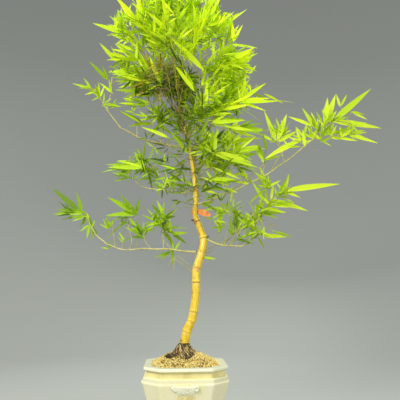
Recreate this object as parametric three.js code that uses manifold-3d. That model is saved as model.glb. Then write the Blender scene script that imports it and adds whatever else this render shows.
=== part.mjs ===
// A potted bamboo: one golden culm with a flared foot, its side boughs, the masses of leaves that
// they carry, a strip of tape tied round the culm, and a chamfered square pot filled with grit.
// Millimetres, +Z up. The origin is the middle of the pot's flat underside, and +Y is its back.

import * as THREE from 'three';
import { mergeVertices } from 'three/addons/utils/BufferGeometryUtils.js';
import Module from 'manifold-3d';

const wasm = await Module();
wasm.setup();

// ---------------------------------------------------------------- driving sizes

const gap = 0.3; // clearance between pieces that touch

const potHeight = 215;
const lipHalf = 120; // half the width of the lip across its flats
const shoulderHalf = 124;
const neckHalf = 113;
const footHalf = 88;
const chamferPart = 0.385; // corner chamfer as a part of the half width
const lipWidth = 16;
const wall = 9;
const floorThickness = 12;

const fanDepth = 5; // how proud the relief's fan stands
const fanReach = [39, 26]; // its half width and its drop
const fanLobes = 7;
const dropDepth = 3;
const dropOutline = [[-33, -14], [-27, -50], [-11, -88], [0, -98], [11, -88], [27, -50], [33, -14]];
const reliefBuried = 5; // how far the relief reaches into the wall

const gritLevel = 211; // where the grit meets the pot's wall
const seatLevel = 245; // flat top of the mound, where the culm stands
const seatPart = 0.31; // half width of that flat, as a part of the grit's half width
const moundPower = 1.64; // how the mound falls from its top to the wall

const culmSides = 12;
const culmStep = 36; // longest distance between two rings of the culm
const nodeSwell = 1.1; // a culm node's radius over the culm's own
const limbSides = 6;
const limbStep = 46;
const bigMass = 106; // half size over which a mass gets finer facets
const waveDepth = 0.035; // how uneven the masses are
const waveTurn = 1.7; // sets each mass's waves apart from the last one's

const tapeLevel = 672; // height of its middle
const tapeHeight = 16;
const tapeThickness = 1.2;
const tapeOpen = 4; // how far in front of the culm's middle the band's two ends reach
const tapeTail = [ // outline of its drooping loose end
  [-2, -6], [2, -6], [17, -14], [36, -17], [41, -6], [33, 2], [14, 10], [-2, 8],
];
const tapeTurn = -8; // degrees, which way the tail points

const knuckle = { at: [-44, -21, 235], half: [18, 14, 12], lean: 14 }; // old root beside the culm
const knuckleOrder = 5; // its place in the list of waves

// The culm's centre line from the flat cut at ground level to the fork, and its radius there.
const culmLine = [
  { at: [-3, 0, seatLevel + gap], r: 28 },
  { at: [-3, 0, 254], r: 19.5 },
  { at: [-3, 0, 268], r: 14 },
  { at: [6, -2, 308], r: 13.8 },
  { at: [19, -6, 338], r: 13.2 },
  { at: [26, -9, 370], r: 12.6 },
  { at: [32, -10, 420], r: 12.3 },
  { at: [34, -8, 490], r: 11.7 },
  { at: [48, -3, 535], r: 11.3 },
  { at: [57, 4, 570], r: 10.9 },
  { at: [56, 7, 590], r: 10.6 },
  { at: [42, 8, 630], r: 9.6 },
  { at: [31, 5, 665], r: 8.9 },
  { at: [32, 0, 715], r: 8.3 },
  { at: [29, -2, 780], r: 7.4 },
  { at: [14, 0, 874], r: 5.6 },
  { at: [-2, 3, 940], r: 5.0 },
  { at: [-16, 5, 985], r: 4.8 },
  { at: [-19, 5, 1010], r: 4.4 },
];
const culmNodes = [302, 333, 362, 449, 492, 587, 642, 750, 797, 874, 940, 985]; // heights

// Masses of leaves: centre, half sizes along x, y and z, and lean about the y axis in degrees.
const masses = [
  { name: 'crown_peak', at: [-49, 5, 1442], half: [166, 138, 94] },
  { name: 'crown_upper_left', at: [-184, -20, 1314], half: [114, 108, 98], lean: 12 },
  { name: 'crown_upper_right', at: [84, -10, 1336], half: [106, 106, 104], lean: -10 },
  { name: 'crown_front', at: [-46, -138, 1200], half: [114, 92, 106] },
  { name: 'crown_back', at: [-18, 155, 1362], half: [152, 100, 148] },
  { name: 'crown_left', at: [-244, -30, 1167], half: [92, 88, 76], lean: 15 },
  { name: 'crown_right', at: [176, -30, 1180], half: [97, 92, 90], lean: -15 },
  { name: 'crown_left_back', at: [-200, 130, 1240], half: [110, 90, 104] },
  { name: 'crown_right_back', at: [148, 130, 1215], half: [112, 90, 116] },
  { name: 'crown_low_left', at: [-132, -20, 1090], half: [70, 72, 64] },
  { name: 'crown_low_right', at: [113, -60, 1026], half: [80, 76, 74], lean: -10 },
  { name: 'crown_right_low', at: [228, -70, 1050], half: [76, 46, 46] },
  { name: 'left_tip', at: [-332, -42, 1084], half: [50, 40, 30], lean: 12 },
  { name: 'middle_left', at: [-86, 22, 987], half: [50, 45, 50] },
  { name: 'middle_right', at: [122, -44, 860], half: [84, 50, 90] },
  { name: 'left_middle', at: [-155, 72, 842], half: [106, 58, 57], lean: 8 },
  { name: 'left_low_outer', at: [-389, 116, 706], half: [74, 50, 62], lean: 20 },
  { name: 'left_low_middle', at: [-213, 96, 686], half: [62, 44, 56] },
  { name: 'left_low_inner', at: [-72, 52, 650], half: [64, 44, 62] },
  { name: 'right_upper_outer', at: [474, -172, 928], half: [134, 58, 66], lean: -18 },
  { name: 'right_upper_middle', at: [298, -112, 908], half: [68, 56, 66], lean: -20 },
  { name: 'right_lower_outer', at: [366, -104, 722], half: [106, 44, 38], lean: -12 },
  { name: 'right_lower_middle', at: [240, -70, 762], half: [46, 42, 52] },
  { name: 'right_lower_low', at: [240, -62, 622], half: [78, 42, 44], lean: -20 },
  { name: 'right_lower_inner', at: [138, -30, 662], half: [38, 34, 44] },
  { name: 'middle_front', at: [34, -58, 986], half: [56, 44, 56] },
  { name: 'crown_heart', at: [-26, -36, 1092], half: [70, 46, 72] },
];

// Boughs: the limb that each leaves, where it leaves it (a height on the culm, or a part of another
// limb's length), the points that it passes, and its radius at both ends.
const limbs = [
  {
    name: 'bough_left_low',
    from: 'culm',
    leaves: 541,
    through: [[-38, 12, 552], [-120, 42, 558], [-209, 75, 559], [-258, 91, 577]],
    r: [3.6, 2.3],
  },
  {
    name: 'bough_left_low_rise',
    from: 'bough_left_low',
    leaves: 1,
    through: [[-292, 102, 606], [-342, 110, 682]],
    r: [2.3, 1.9],
  },
  {
    name: 'twig_left_low_inner',
    from: 'bough_left_low',
    leaves: 0.38,
    through: [[-74, 44, 606]],
    r: [1.8, 1.4],
  },
  {
    name: 'twig_left_low_middle',
    from: 'bough_left_low',
    leaves: 0.74,
    through: [[-176, 82, 590], [-192, 92, 648]],
    r: [1.6, 1.3],
  },
  {
    name: 'bough_left_middle',
    from: 'culm',
    leaves: 743,
    through: [[-12, 12, 736], [-84, 40, 752], [-150, 62, 770], [-180, 70, 800]],
    r: [3.0, 1.7],
  },
  {
    name: 'bough_left_upper',
    from: 'culm',
    leaves: 880,
    through: [[-35, 0, 890], [-133, -10, 906], [-212, -24, 942]],
    r: [3.4, 2.4],
  },
  {
    name: 'bough_left_upper_rise',
    from: 'bough_left_upper',
    leaves: 1,
    through: [[-258, -32, 1004], [-296, -38, 1066]],
    r: [2.4, 1.8],
  },
  {
    name: 'twig_left_upper',
    from: 'bough_left_upper_rise',
    leaves: 0.48,
    through: [[-246, -30, 1052], [-243, -30, 1112]],
    r: [1.6, 1.3],
  },
  {
    name: 'twig_middle_left',
    from: 'bough_left_upper',
    leaves: 0.41,
    through: [[-85, 10, 945]],
    r: [1.8, 1.4],
  },
  {
    name: 'bough_right_upper',
    from: 'culm',
    leaves: 693,
    through: [[90, -20, 710], [160, -46, 738], [249, -90, 776], [324, -130, 826], [378, -155, 868]],
    r: [3.6, 2.2],
  },
  {
    name: 'twig_right_upper',
    from: 'bough_right_upper',
    leaves: 0.74,
    through: [[288, -110, 852]],
    r: [1.9, 1.5],
  },
  {
    name: 'bough_right_lower',
    from: 'culm',
    leaves: 588,
    through: [[96, -13, 570], [137, -30, 560], [176, -44, 560], [232, -59, 602]],
    r: [3.6, 2.0],
  },
  {
    name: 'bough_right_lower_rise',
    from: 'bough_right_lower',
    leaves: 0.45,
    through: [[163, -42, 600], [222, -68, 671], [282, -92, 708]],
    r: [1.9, 1.5],
  },
  {
    name: 'twig_right_lower_middle',
    from: 'bough_right_lower_rise',
    leaves: 0.66,
    through: [[236, -70, 722]],
    r: [1.6, 1.3],
  },
  {
    name: 'twig_right_lower_inner',
    from: 'bough_right_lower',
    leaves: 0.36,
    through: [[124, -28, 590], [136, -30, 630]],
    r: [1.7, 1.3],
  },
  {
    name: 'bough_middle_right',
    from: 'culm',
    leaves: 843,
    through: [[52, -18, 850], [82, -34, 866]],
    r: [2.2, 1.6],
  },
  {
    name: 'bough_middle_front',
    from: 'culm',
    leaves: 905,
    through: [[20, -24, 930], [30, -44, 960]],
    r: [2.0, 1.5],
  },
  {
    name: 'bough_crown_right',
    from: 'culm',
    leaves: 876,
    through: [[58, -20, 905], [80, -45, 944], [92, -56, 980]],
    r: [3.0, 1.9],
  },
  {
    name: 'bough_crown_right_back',
    from: 'bough_crown_right',
    leaves: 0.5,
    through: [[90, 30, 994], [124, 98, 1150]],
    r: [2.2, 1.5],
  },
  {
    name: 'bough_crown_right_low',
    from: 'bough_crown_right',
    leaves: 0.66,
    through: [[128, -60, 990], [176, -68, 1020]],
    r: [1.8, 1.4],
  },
  {
    name: 'bough_crown_low_left',
    from: 'culm',
    leaves: 955,
    through: [[-56, -5, 1010], [-96, -14, 1056]],
    r: [2.2, 1.6],
  },
  {
    name: 'stem_left',
    from: 'culm',
    leaves: 984,
    through: [[-70, 0, 1093], [-128, -10, 1181], [-168, -18, 1250]],
    r: [2.9, 1.9],
  },
  {
    name: 'stem_centre',
    from: 'culm',
    leaves: 1006,
    through: [[-33, 8, 1127], [-44, 5, 1254], [-49, 2, 1385]],
    r: [3.6, 2.1],
  },
  {
    name: 'stem_right',
    from: 'culm',
    leaves: 992,
    through: [[14, 2, 1096], [52, -5, 1188], [82, -10, 1262]],
    r: [2.9, 1.9],
  },
  {
    name: 'twig_crown_right',
    from: 'stem_right',
    leaves: 0.3,
    through: [[82, -10, 1092], [135, -22, 1134]],
    r: [1.8, 1.4],
  },
  {
    name: 'stem_front',
    from: 'culm',
    leaves: 975,
    through: [[-27, -60, 1042], [-40, -112, 1130]],
    r: [2.4, 1.7],
  },
  {
    name: 'stem_back',
    from: 'culm',
    leaves: 998,
    through: [[-15, 80, 1124], [-18, 132, 1262]],
    r: [2.6, 1.7],
  },
  {
    name: 'stem_left_back',
    from: 'stem_left',
    leaves: 0.42,
    through: [[-125, 60, 1130], [-168, 106, 1180]],
    r: [2.0, 1.5],
  },
];

// ---------------------------------------------------------------- finishes

const finish = (color, roughness) => new THREE.MeshStandardMaterial({ color, roughness });
const potFinish = () => finish(0xece6bf, 0.75);
const gritFinish = () => finish(0xd9c27c, 0.95);
const culmFinish = () => finish(0xe8c23c, 0.45);
const limbFinish = () => finish(0xc3b45c, 0.6);
const rootFinish = () => finish(0x6e5530, 0.9);
const leafFinish = () => finish(0x8fc41e, 0.55);
const tapeFinish = () => finish(0xe8812e, 0.5);

// ---------------------------------------------------------------- helpers

const vector = (point) => new THREE.Vector3(...point);

// Joins rings of equally many points, each anticlockwise seen from where the loft goes, to a body.
function loft(rings) {
  const sides = rings[0].length;
  const positions = rings.flat().flatMap((point) => point.toArray());
  const faces = [];
  for (let ring = 0; ring + 1 < rings.length; ring += 1) {
    for (let side = 0; side < sides; side += 1) {
      const next = (side + 1) % sides;
      const a = ring * sides + side;
      const b = ring * sides + next;
      faces.push(a, b, b + sides, a, b + sides, a + sides);
    }
  }
  const lastStart = (rings.length - 1) * sides;
  for (const [start, turned] of [[0, true], [lastStart, false]]) {
    const centre = positions.length / 3;
    const middle = new THREE.Vector3();
    for (let side = 0; side < sides; side += 1) {
      middle.add(new THREE.Vector3().fromArray(positions, 3 * (start + side)));
    }
    positions.push(...middle.divideScalar(sides).toArray());
    for (let side = 0; side < sides; side += 1) {
      const a = start + side;
      const b = start + ((side + 1) % sides);
      faces.push(...(turned ? [centre, b, a] : [centre, a, b]));
    }
  }
  const geometry = new THREE.BufferGeometry();
  geometry.setAttribute('position', new THREE.Float32BufferAttribute(positions, 3));
  geometry.setIndex(faces);
  return geometry;
}

function solidOf(geometry) {
  const bare = geometry.clone();
  bare.deleteAttribute('normal');
  bare.deleteAttribute('uv');
  const merged = mergeVertices(bare, 1e-4);
  return new wasm.Manifold(new wasm.Mesh({
    numProp: 3,
    vertProperties: new Float32Array(merged.attributes.position.array),
    triVerts: new Uint32Array(merged.index.array),
  }));
}

function geometryOf(solid) {
  const mesh = solid.getMesh();
  const geometry = new THREE.BufferGeometry();
  geometry.setAttribute('position', new THREE.BufferAttribute(mesh.vertProperties, 3));
  geometry.setIndex(new THREE.BufferAttribute(mesh.triVerts, 1));
  return geometry;
}

function addPiece(group, name, geometry, material) {
  geometry.computeVertexNormals();
  const mesh = new THREE.Mesh(geometry, material);
  mesh.name = name;
  group.add(mesh);
}

// ---------------------------------------------------------------- pot and grit

// A square ring with cut corners, anticlockwise seen from above.
function squareRing(half, z) {
  const cut = half * chamferPart;
  const corner = half - cut;
  const quarter = [[half, -corner], [half, corner]];
  const ring = [];
  for (let turn = 0; turn < 4; turn += 1) {
    for (const [x, y] of quarter) {
      ring.push(new THREE.Vector3(x, y, z).applyAxisAngle(new THREE.Vector3(0, 0, 1),
        (turn * Math.PI) / 2));
    }
  }
  return ring;
}

const waistHalf = footHalf - 4;
const waistLevel = 24;
const shoulderLevel = 168;
const slopeLevel = shoulderLevel - 8; // top of the sloping face
const neckLevel = 187;
const lipLevel = potHeight - 10;
const cavityFloorHalf = waistHalf - wall;
const cavityTopHalf = lipHalf - lipWidth;

// Half width and height of the pot's outline, up the outside.
const outside = [
  [footHalf, 0],
  [footHalf, 15],
  [waistHalf, 20],
  [waistHalf, waistLevel],
  [shoulderHalf - 2, slopeLevel],
  [shoulderHalf, shoulderLevel],
  [shoulderHalf - 1, shoulderLevel + 10],
  [shoulderHalf - 3, neckLevel - 1.5],
  [neckHalf, neckLevel],
  [neckHalf, lipLevel - 2],
  [lipHalf, lipLevel],
  [lipHalf, potHeight - 1],
  [lipHalf - 1, potHeight],
];

const cavityHalfAt = (z) => THREE.MathUtils.mapLinear(
  z, floorThickness, potHeight, cavityFloorHalf, cavityTopHalf);

// The lower edge of the scalloped fan that hangs under the shoulder.
function fanOutline() {
  const steps = 4 * fanLobes;
  return Array.from({ length: steps + 1 }, (_, step) => {
    const part = step / steps;
    const angle = Math.PI * (1 + part);
    const reach = 0.9 + 0.1 * Math.abs(Math.sin(fanLobes * Math.PI * part));
    return [fanReach[0] * reach * Math.cos(angle), fanReach[1] * reach * Math.sin(angle)];
  });
}

function potGeometry() {
  const rings = outside.map(([half, z]) => squareRing(half, z));
  rings.push(squareRing(cavityTopHalf, potHeight));
  rings.push(squareRing(cavityFloorHalf, floorThickness));
  let pot = solidOf(loft(rings));
  const rise = slopeLevel - waistLevel;
  const slope = Math.atan((shoulderHalf - 2 - waistHalf) / rise);
  for (const [outline, proud] of [[fanOutline(), fanDepth], [dropOutline, dropDepth]]) {
    const shape = new THREE.Shape(outline.map(([x, y]) => new THREE.Vector2(x, y)));
    const geometry = new THREE.ExtrudeGeometry(shape, {
      depth: proud + reliefBuried,
      bevelEnabled: false,
    });
    geometry.translate(0, 0, -reliefBuried);
    geometry.rotateX(Math.PI / 2 + slope);
    geometry.translate(0, -shoulderHalf, shoulderLevel);
    for (let face = 0; face < 4; face += 1) {
      pot = pot.add(solidOf(geometry));
      geometry.rotateZ(Math.PI / 2);
    }
  }
  return geometryOf(pot);
}

// Height of the grit's mound: level under the culm, then falling to the wall.
function moundHeight(part) {
  const fall = Math.max(0, (part ** moundPower - seatPart ** moundPower)
    / (1 - seatPart ** moundPower));
  return THREE.MathUtils.lerp(seatLevel, gritLevel, fall);
}

function gritGeometry() {
  const bottom = floorThickness + gap;
  const rings = [squareRing(cavityHalfAt(bottom) - gap, bottom)];
  for (const part of [1, 0.84, 0.66, 0.48, seatPart]) {
    const half = (cavityHalfAt(gritLevel) - gap) * part;
    rings.push(squareRing(half, moundHeight(part)));
  }
  return loft(rings);
}

// ---------------------------------------------------------------- culm and boughs

// Rings across a path, kept from twisting; grow adds to the radius.
function tube(curve, stops, radiusAt, sides, grow = 0) {
  const side = new THREE.Vector3(0, 1, 0);
  const rings = [];
  for (const stop of stops) {
    const tangent = curve.getTangentAt(stop);
    side.addScaledVector(tangent, -side.dot(tangent)).normalize();
    const across = new THREE.Vector3().crossVectors(tangent, side);
    const centre = curve.getPointAt(stop);
    const radius = radiusAt(stop) + grow;
    rings.push(Array.from({ length: sides }, (_, index) => {
      const angle = (2 * Math.PI * index) / sides;
      return centre.clone()
        .addScaledVector(side, radius * Math.cos(angle))
        .addScaledVector(across, radius * Math.sin(angle));
    }));
  }
  return loft(rings);
}

const culmCurve = new THREE.CatmullRomCurve3(culmLine.map(({ at }) => vector(at)), false,
  'centripetal');
culmCurve.arcLengthDivisions = 600;

function culmRadiusAtHeight(z) {
  const above = Math.max(1, culmLine.findIndex(({ at }) => at[2] >= z));
  const [low, high] = [culmLine[above - 1], culmLine[above]];
  return THREE.MathUtils.mapLinear(z, low.at[2], high.at[2], low.r, high.r);
}

// The stop along the culm whose centre has a height; the culm always rises.
function stopAtHeight(z) {
  let [low, high] = [0, 1];
  for (let step = 0; step < 30; step += 1) {
    const middle = (low + high) / 2;
    if (culmCurve.getPointAt(middle).z < z) {
      low = middle;
    } else {
      high = middle;
    }
  }
  return (low + high) / 2;
}

function culmGeometry(grow = 0) {
  const foot = culmLine[0].at[2];
  const top = culmLine.at(-1).at[2];
  const swells = new Map();
  for (const node of culmNodes) {
    swells.set(node - 3, 1);
    swells.set(node, nodeSwell);
    swells.set(node + 3, 1);
  }
  const heights = [foot, culmLine[1].at[2], culmLine[2].at[2], ...swells.keys(), top];
  heights.sort((a, b) => a - b);
  const filled = heights.flatMap((height, index) => {
    const reach = (heights[index + 1] ?? height) - height;
    const parts = Math.max(1, Math.ceil(reach / culmStep));
    return Array.from({ length: parts }, (_, part) => height + (reach * part) / parts);
  });
  const stops = filled.map((height) => {
    if (height === foot) return 0;
    return height === top ? 1 : stopAtHeight(height);
  });
  const radiusAt = (stop) => {
    const height = filled[stops.indexOf(stop)];
    return Math.max(1, culmRadiusAtHeight(height)) * (swells.get(height) ?? 1);
  };
  return tube(culmCurve, stops, radiusAt, culmSides, grow);
}

const limbCurves = new Map();
for (const { name, from, leaves, through } of limbs) {
  const start = from === 'culm'
    ? culmCurve.getPointAt(stopAtHeight(leaves))
    : limbCurves.get(from).getPointAt(leaves);
  if (leaves === 1) start.addScaledVector(limbCurves.get(from).getTangentAt(1), gap);
  limbCurves.set(name,
    new THREE.CatmullRomCurve3([start, ...through.map(vector)], false, 'centripetal'));
}

function limbGeometry({ name, r }, grow = 0) {
  const curve = limbCurves.get(name);
  const steps = Math.max(2, Math.round(curve.getLength() / limbStep));
  const stops = Array.from({ length: steps + 1 }, (_, step) => step / steps);
  const radiusAt = (stop) => THREE.MathUtils.lerp(r[0], r[1], stop);
  return tube(curve, stops, radiusAt, limbSides, grow);
}

// ---------------------------------------------------------------- masses of leaves

// An uneven ball: three waves over its directions, turned by its place in the list.
function massGeometry({ at, half, lean = 0 }, order, grow = 0) {
  const detail = Math.max(...half) > bigMass ? 2 : 1;
  const ball = new THREE.IcosahedronGeometry(1, detail);
  const points = ball.attributes.position;
  const turn = waveTurn * order;
  for (let index = 0; index < points.count; index += 1) {
    const way = new THREE.Vector3().fromBufferAttribute(points, index).normalize();
    const wave = Math.sin(4 * way.x + turn) + Math.sin(5 * way.y + 2 * turn)
      + Math.sin(4.5 * way.z + 3 * turn);
    const uneven = 1 + waveDepth * (wave - 1.4);
    points.setXYZ(index,
      way.x * (half[0] * uneven + grow),
      way.y * (half[1] * uneven + grow),
      way.z * (half[2] * uneven + grow));
  }
  ball.rotateY(THREE.MathUtils.degToRad(lean));
  ball.translate(...at);
  return ball;
}

// ---------------------------------------------------------------- tape

// A band round the culm's back, open in front, with a loose tail.
function tapeSolid(wideCulm) {
  const heights = [tapeLevel - tapeHeight / 2, tapeLevel, tapeLevel + tapeHeight / 2];
  const stops = heights.map(stopAtHeight);
  const outer = culmRadiusAtHeight(tapeLevel) + gap + tapeThickness;
  const centre = culmCurve.getPointAt(stops[1]).toArray();
  const front = new THREE.BoxGeometry(4 * outer, 2 * outer, 2 * tapeHeight);
  front.translate(0, -outer - tapeOpen, 0);
  front.translate(...centre);
  const band = solidOf(tube(culmCurve, stops, () => outer, culmSides)).subtract(solidOf(front));
  const tail = new THREE.Shape(tapeTail.map(([x, y]) => new THREE.Vector2(x, y)));
  const flag = new THREE.ExtrudeGeometry(tail, { depth: tapeThickness, bevelEnabled: false });
  flag.rotateX(Math.PI / 2);
  flag.translate(outer - tapeThickness / 2, 0, 0);
  flag.rotateZ(THREE.MathUtils.degToRad(tapeTurn));
  flag.translate(...centre);
  return band.add(solidOf(flag)).subtract(wideCulm);
}

// ---------------------------------------------------------------- the plant

const plant = new THREE.Group();
plant.name = 'potted_bamboo';

addPiece(plant, 'pot', potGeometry(), potFinish());
addPiece(plant, 'grit', gritGeometry(), gritFinish());
addPiece(plant, 'culm', culmGeometry(), culmFinish());

const wideCulm = solidOf(culmGeometry(gap));
const knuckleSolid = solidOf(massGeometry(knuckle, knuckleOrder))
  .subtract(solidOf(gritGeometry().translate(0, 0, gap)))
  .subtract(wideCulm);
addPiece(plant, 'root_knuckle', geometryOf(knuckleSolid), rootFinish());
addPiece(plant, 'tape', geometryOf(tapeSolid(wideCulm)), tapeFinish());

// Each limb is cut where it leaves its own limb, and each mass round every limb and earlier mass.
const wideLimbs = new Map([['culm', wideCulm]]);
for (const limb of limbs) {
  wideLimbs.set(limb.name, solidOf(limbGeometry(limb, gap)));
  const solid = solidOf(limbGeometry(limb)).subtract(wideLimbs.get(limb.from));
  addPiece(plant, limb.name, geometryOf(solid), limbFinish());
}

const cutters = [...wideLimbs.values()];
masses.forEach((mass, order) => {
  let solid = solidOf(massGeometry(mass, order));
  for (const cutter of cutters) solid = solid.subtract(cutter);
  addPiece(plant, mass.name, geometryOf(solid), leafFinish());
  cutters.push(solidOf(massGeometry(mass, order, gap)));
});

export default plant;
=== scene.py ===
import math
import random

import bmesh
import bpy
import numpy as np
from mathutils import Matrix, Vector, noise


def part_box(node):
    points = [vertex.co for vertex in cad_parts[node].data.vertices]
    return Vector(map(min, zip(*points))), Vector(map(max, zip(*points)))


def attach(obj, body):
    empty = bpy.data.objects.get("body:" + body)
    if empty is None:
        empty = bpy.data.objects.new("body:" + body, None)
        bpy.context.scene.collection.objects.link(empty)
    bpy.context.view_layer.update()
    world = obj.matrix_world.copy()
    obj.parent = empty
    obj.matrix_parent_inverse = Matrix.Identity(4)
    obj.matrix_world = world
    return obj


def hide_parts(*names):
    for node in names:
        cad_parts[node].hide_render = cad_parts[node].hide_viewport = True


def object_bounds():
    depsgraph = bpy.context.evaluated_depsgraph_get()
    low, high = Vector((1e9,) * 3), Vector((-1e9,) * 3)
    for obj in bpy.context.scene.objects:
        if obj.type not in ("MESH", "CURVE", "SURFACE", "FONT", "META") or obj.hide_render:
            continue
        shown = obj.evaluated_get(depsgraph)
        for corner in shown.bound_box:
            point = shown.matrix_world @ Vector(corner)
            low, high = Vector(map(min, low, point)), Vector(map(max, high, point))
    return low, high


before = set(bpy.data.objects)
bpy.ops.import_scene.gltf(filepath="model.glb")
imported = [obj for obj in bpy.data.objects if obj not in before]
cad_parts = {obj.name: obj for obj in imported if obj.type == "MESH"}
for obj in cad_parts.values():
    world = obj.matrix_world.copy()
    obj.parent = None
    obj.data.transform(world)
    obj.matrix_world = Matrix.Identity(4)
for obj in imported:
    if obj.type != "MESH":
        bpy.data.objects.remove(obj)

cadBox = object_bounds()
mm = 0.001
up = np.array([0.0, 0.0, 1.0])


def unit(vector):
    return vector / max(1e-9, float(np.linalg.norm(vector)))


def smooth(value, low, high):
    part = np.clip((value - low) / (high - low), 0, 1)
    return part * part * (3 - 2 * part)


def bell(value, width):
    return np.exp(-(value / width) ** 2)


def dome(value):
    # a half circle over -1 to 1
    return np.sqrt(np.clip(1 - value ** 2, 0, 1))


def roughness(*place):
    return noise.noise(Vector(place))


# Node trees: an input is a value, a socket, or a node that stands for its first output

def addNode(tree, kind, inputs=None, **settings):
    node = tree.nodes.new(kind)
    for key, value in settings.items():
        setattr(node, key, value)
    for socket, value in (inputs or {}).items():
        if isinstance(value, bpy.types.Node):
            value = value.outputs[0]
        if isinstance(value, bpy.types.NodeSocket):
            tree.links.new(value, node.inputs[socket])
        else:
            node.inputs[socket].default_value = value
    return node


def calculate(tree, operation, first, second=0.0, third=0.0, clamp=False):
    return addNode(tree, "ShaderNodeMath", {0: first, 1: second, 2: third},
                   operation=operation, use_clamp=clamp)


def scaleAdd(tree, value, gain, shift, clamp=False):
    return calculate(tree, "MULTIPLY_ADD", value, gain, shift, clamp)


def tone(red, green, blue):
    # a screen colour, 0 to 255, as the shader's linear one
    shares = [value / 255 for value in (red, green, blue)]
    return tuple(share / 12.92 if share <= 0.04045 else ((share + 0.055) / 1.055) ** 2.4
                 for share in shares) + (1.0,)


def ramp(tree, factor, *stops):
    # stops: place, red, green and blue
    node = addNode(tree, "ShaderNodeValToRGB", {"Fac": factor})
    elements = node.color_ramp.elements
    while len(elements) < len(stops):
        elements.new(0.5)
    for element, (place, *colour) in zip(elements, stops):
        element.position = place
        element.color = tone(*colour)
    return node


def layer(tree, colour, paint, factor, gain=1.0):
    # a paint over a colour, as far as the factor times the gain
    share = calculate(tree, "MULTIPLY", factor, gain, clamp=True)
    paint = tone(*paint) if isinstance(paint, tuple) else paint
    return addNode(tree, "ShaderNodeMix", {0: share, 6: colour, 7: paint},
                   data_type="RGBA").outputs[2]


def grainOf(tree, scale, detail=3.0, stretch=(1, 1, 1)):
    coords = addNode(tree, "ShaderNodeTexCoord").outputs["Object"]
    mapped = addNode(tree, "ShaderNodeMapping", {"Vector": coords, "Scale": stretch})
    return addNode(tree, "ShaderNodeTexNoise", {"Vector": mapped, "Scale": scale,
                                                "Detail": detail, "Roughness": 0.55})


def specksOf(tree, scale, detail, stretch, above):
    return calculate(tree, "GREATER_THAN", grainOf(tree, scale, detail, stretch), above)


def attributeOf(tree, name):
    return addNode(tree, "ShaderNodeAttribute", attribute_name=name).outputs["Fac"]


def bump(tree, height, strength, distance, under=None):
    inputs = {"Height": height, "Strength": strength, "Distance": distance}
    if under is not None:
        inputs["Normal"] = under
    return addNode(tree, "ShaderNodeBump", inputs)


def newMaterial(name):
    material = bpy.data.materials.new(name)
    material.use_nodes = True
    material.node_tree.nodes.clear()
    return material, material.node_tree


def surface(tree, colour, rough, normal=None, **others):
    inputs = {"Base Color": colour, "Roughness": rough}
    if normal is not None:
        inputs["Normal"] = normal
    inputs.update({key.replace("_", " "): value for key, value in others.items()})
    shader = addNode(tree, "ShaderNodeBsdfPrincipled", inputs)
    addNode(tree, "ShaderNodeOutputMaterial", {"Surface": shader})


# Meshes, in millimetres

def ringFaces(rings, count, first=0, inward=False):
    # quads between rings of points, numbered on from the first
    faces = []
    for low in range(first, first + (rings - 1) * count, count):
        for turn in range(count):
            following = (turn + 1) % count
            face = (low + turn, low + following, low + count + following, low + count + turn)
            faces.append(face[:1] + face[:0:-1] if inward else face)
    return faces


def tubeFaces(rings, count, inward=False):
    # the same, closed at both ends
    start = tuple(range(count))
    end = tuple(range((rings - 1) * count, rings * count))
    ends = [start, end[::-1]] if inward else [start[::-1], end]
    return ringFaces(rings, count, 0, inward) + ends


def domeFaces(rings, count):
    # a fan round point 0, and the rings that follow it
    fan = [(0, 1 + turn, 1 + (turn + 1) % count) for turn in range(count)]
    return fan + ringFaces(rings, count, 1, True)


def joined(shapes):
    points, faces = [], []
    for some, shape in shapes:
        faces += [tuple(len(points) + corner for corner in face) for face in shape]
        points.extend(some)
    return points, faces


def linked(name, data):
    thing = bpy.data.objects.new(name, data)
    bpy.context.scene.collection.objects.link(thing)
    return thing


def shade(mesh, rounded):
    mesh.polygons.foreach_set("use_smooth", [rounded] * len(mesh.polygons))


def newMesh(name, points, edges=(), faces=(), values=None):
    # values: one number or one vector for each point, by the attribute's name
    mesh = bpy.data.meshes.new(name)
    mesh.from_pydata((np.array(points, float) * mm).tolist(), edges, faces)
    for key, numbers in (values or {}).items():
        numbers = np.array(numbers, np.float32)
        kind, field = ("FLOAT", "value") if numbers.ndim == 1 else ("FLOAT_VECTOR", "vector")
        mesh.attributes.new(key, kind, "POINT").data.foreach_set(field, numbers.ravel())
    return mesh


def meshPiece(name, points, faces, material, values=None, sharp=None):
    mesh = newMesh(name, points, (), faces, values)
    mesh.materials.append(material)
    shade(mesh, True)
    if sharp is not None:
        mesh.set_sharp_from_angle(angle=math.radians(sharp))
    mesh.update()
    return linked(name, mesh)


def placePiece(piece, nodes=()):
    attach(piece, "root")
    if nodes:
        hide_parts(*nodes)


def newTree(name, sizes):
    # a geometry tree with named inputs for its sizes
    tree = bpy.data.node_groups.new(name, "GeometryNodeTree")
    for way in ("INPUT", "OUTPUT"):
        tree.interface.new_socket("Geometry", in_out=way, socket_type="NodeSocketGeometry")
    for key, value in sizes.items():
        kind = "NodeSocketInt" if isinstance(value, int) else "NodeSocketFloat"
        tree.interface.new_socket(key, in_out="INPUT", socket_type=kind)
    return tree, addNode(tree, "NodeGroupInput").outputs


def endTree(tree, geometry, material):
    whole = addNode(tree, "GeometryNodeRealizeInstances", {"Geometry": geometry})
    soft = addNode(tree, "GeometryNodeSetShadeSmooth", {"Geometry": whole})
    painted = addNode(tree, "GeometryNodeSetMaterial", {"Geometry": soft, "Material": material})
    addNode(tree, "NodeGroupOutput", {"Geometry": painted})


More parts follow.
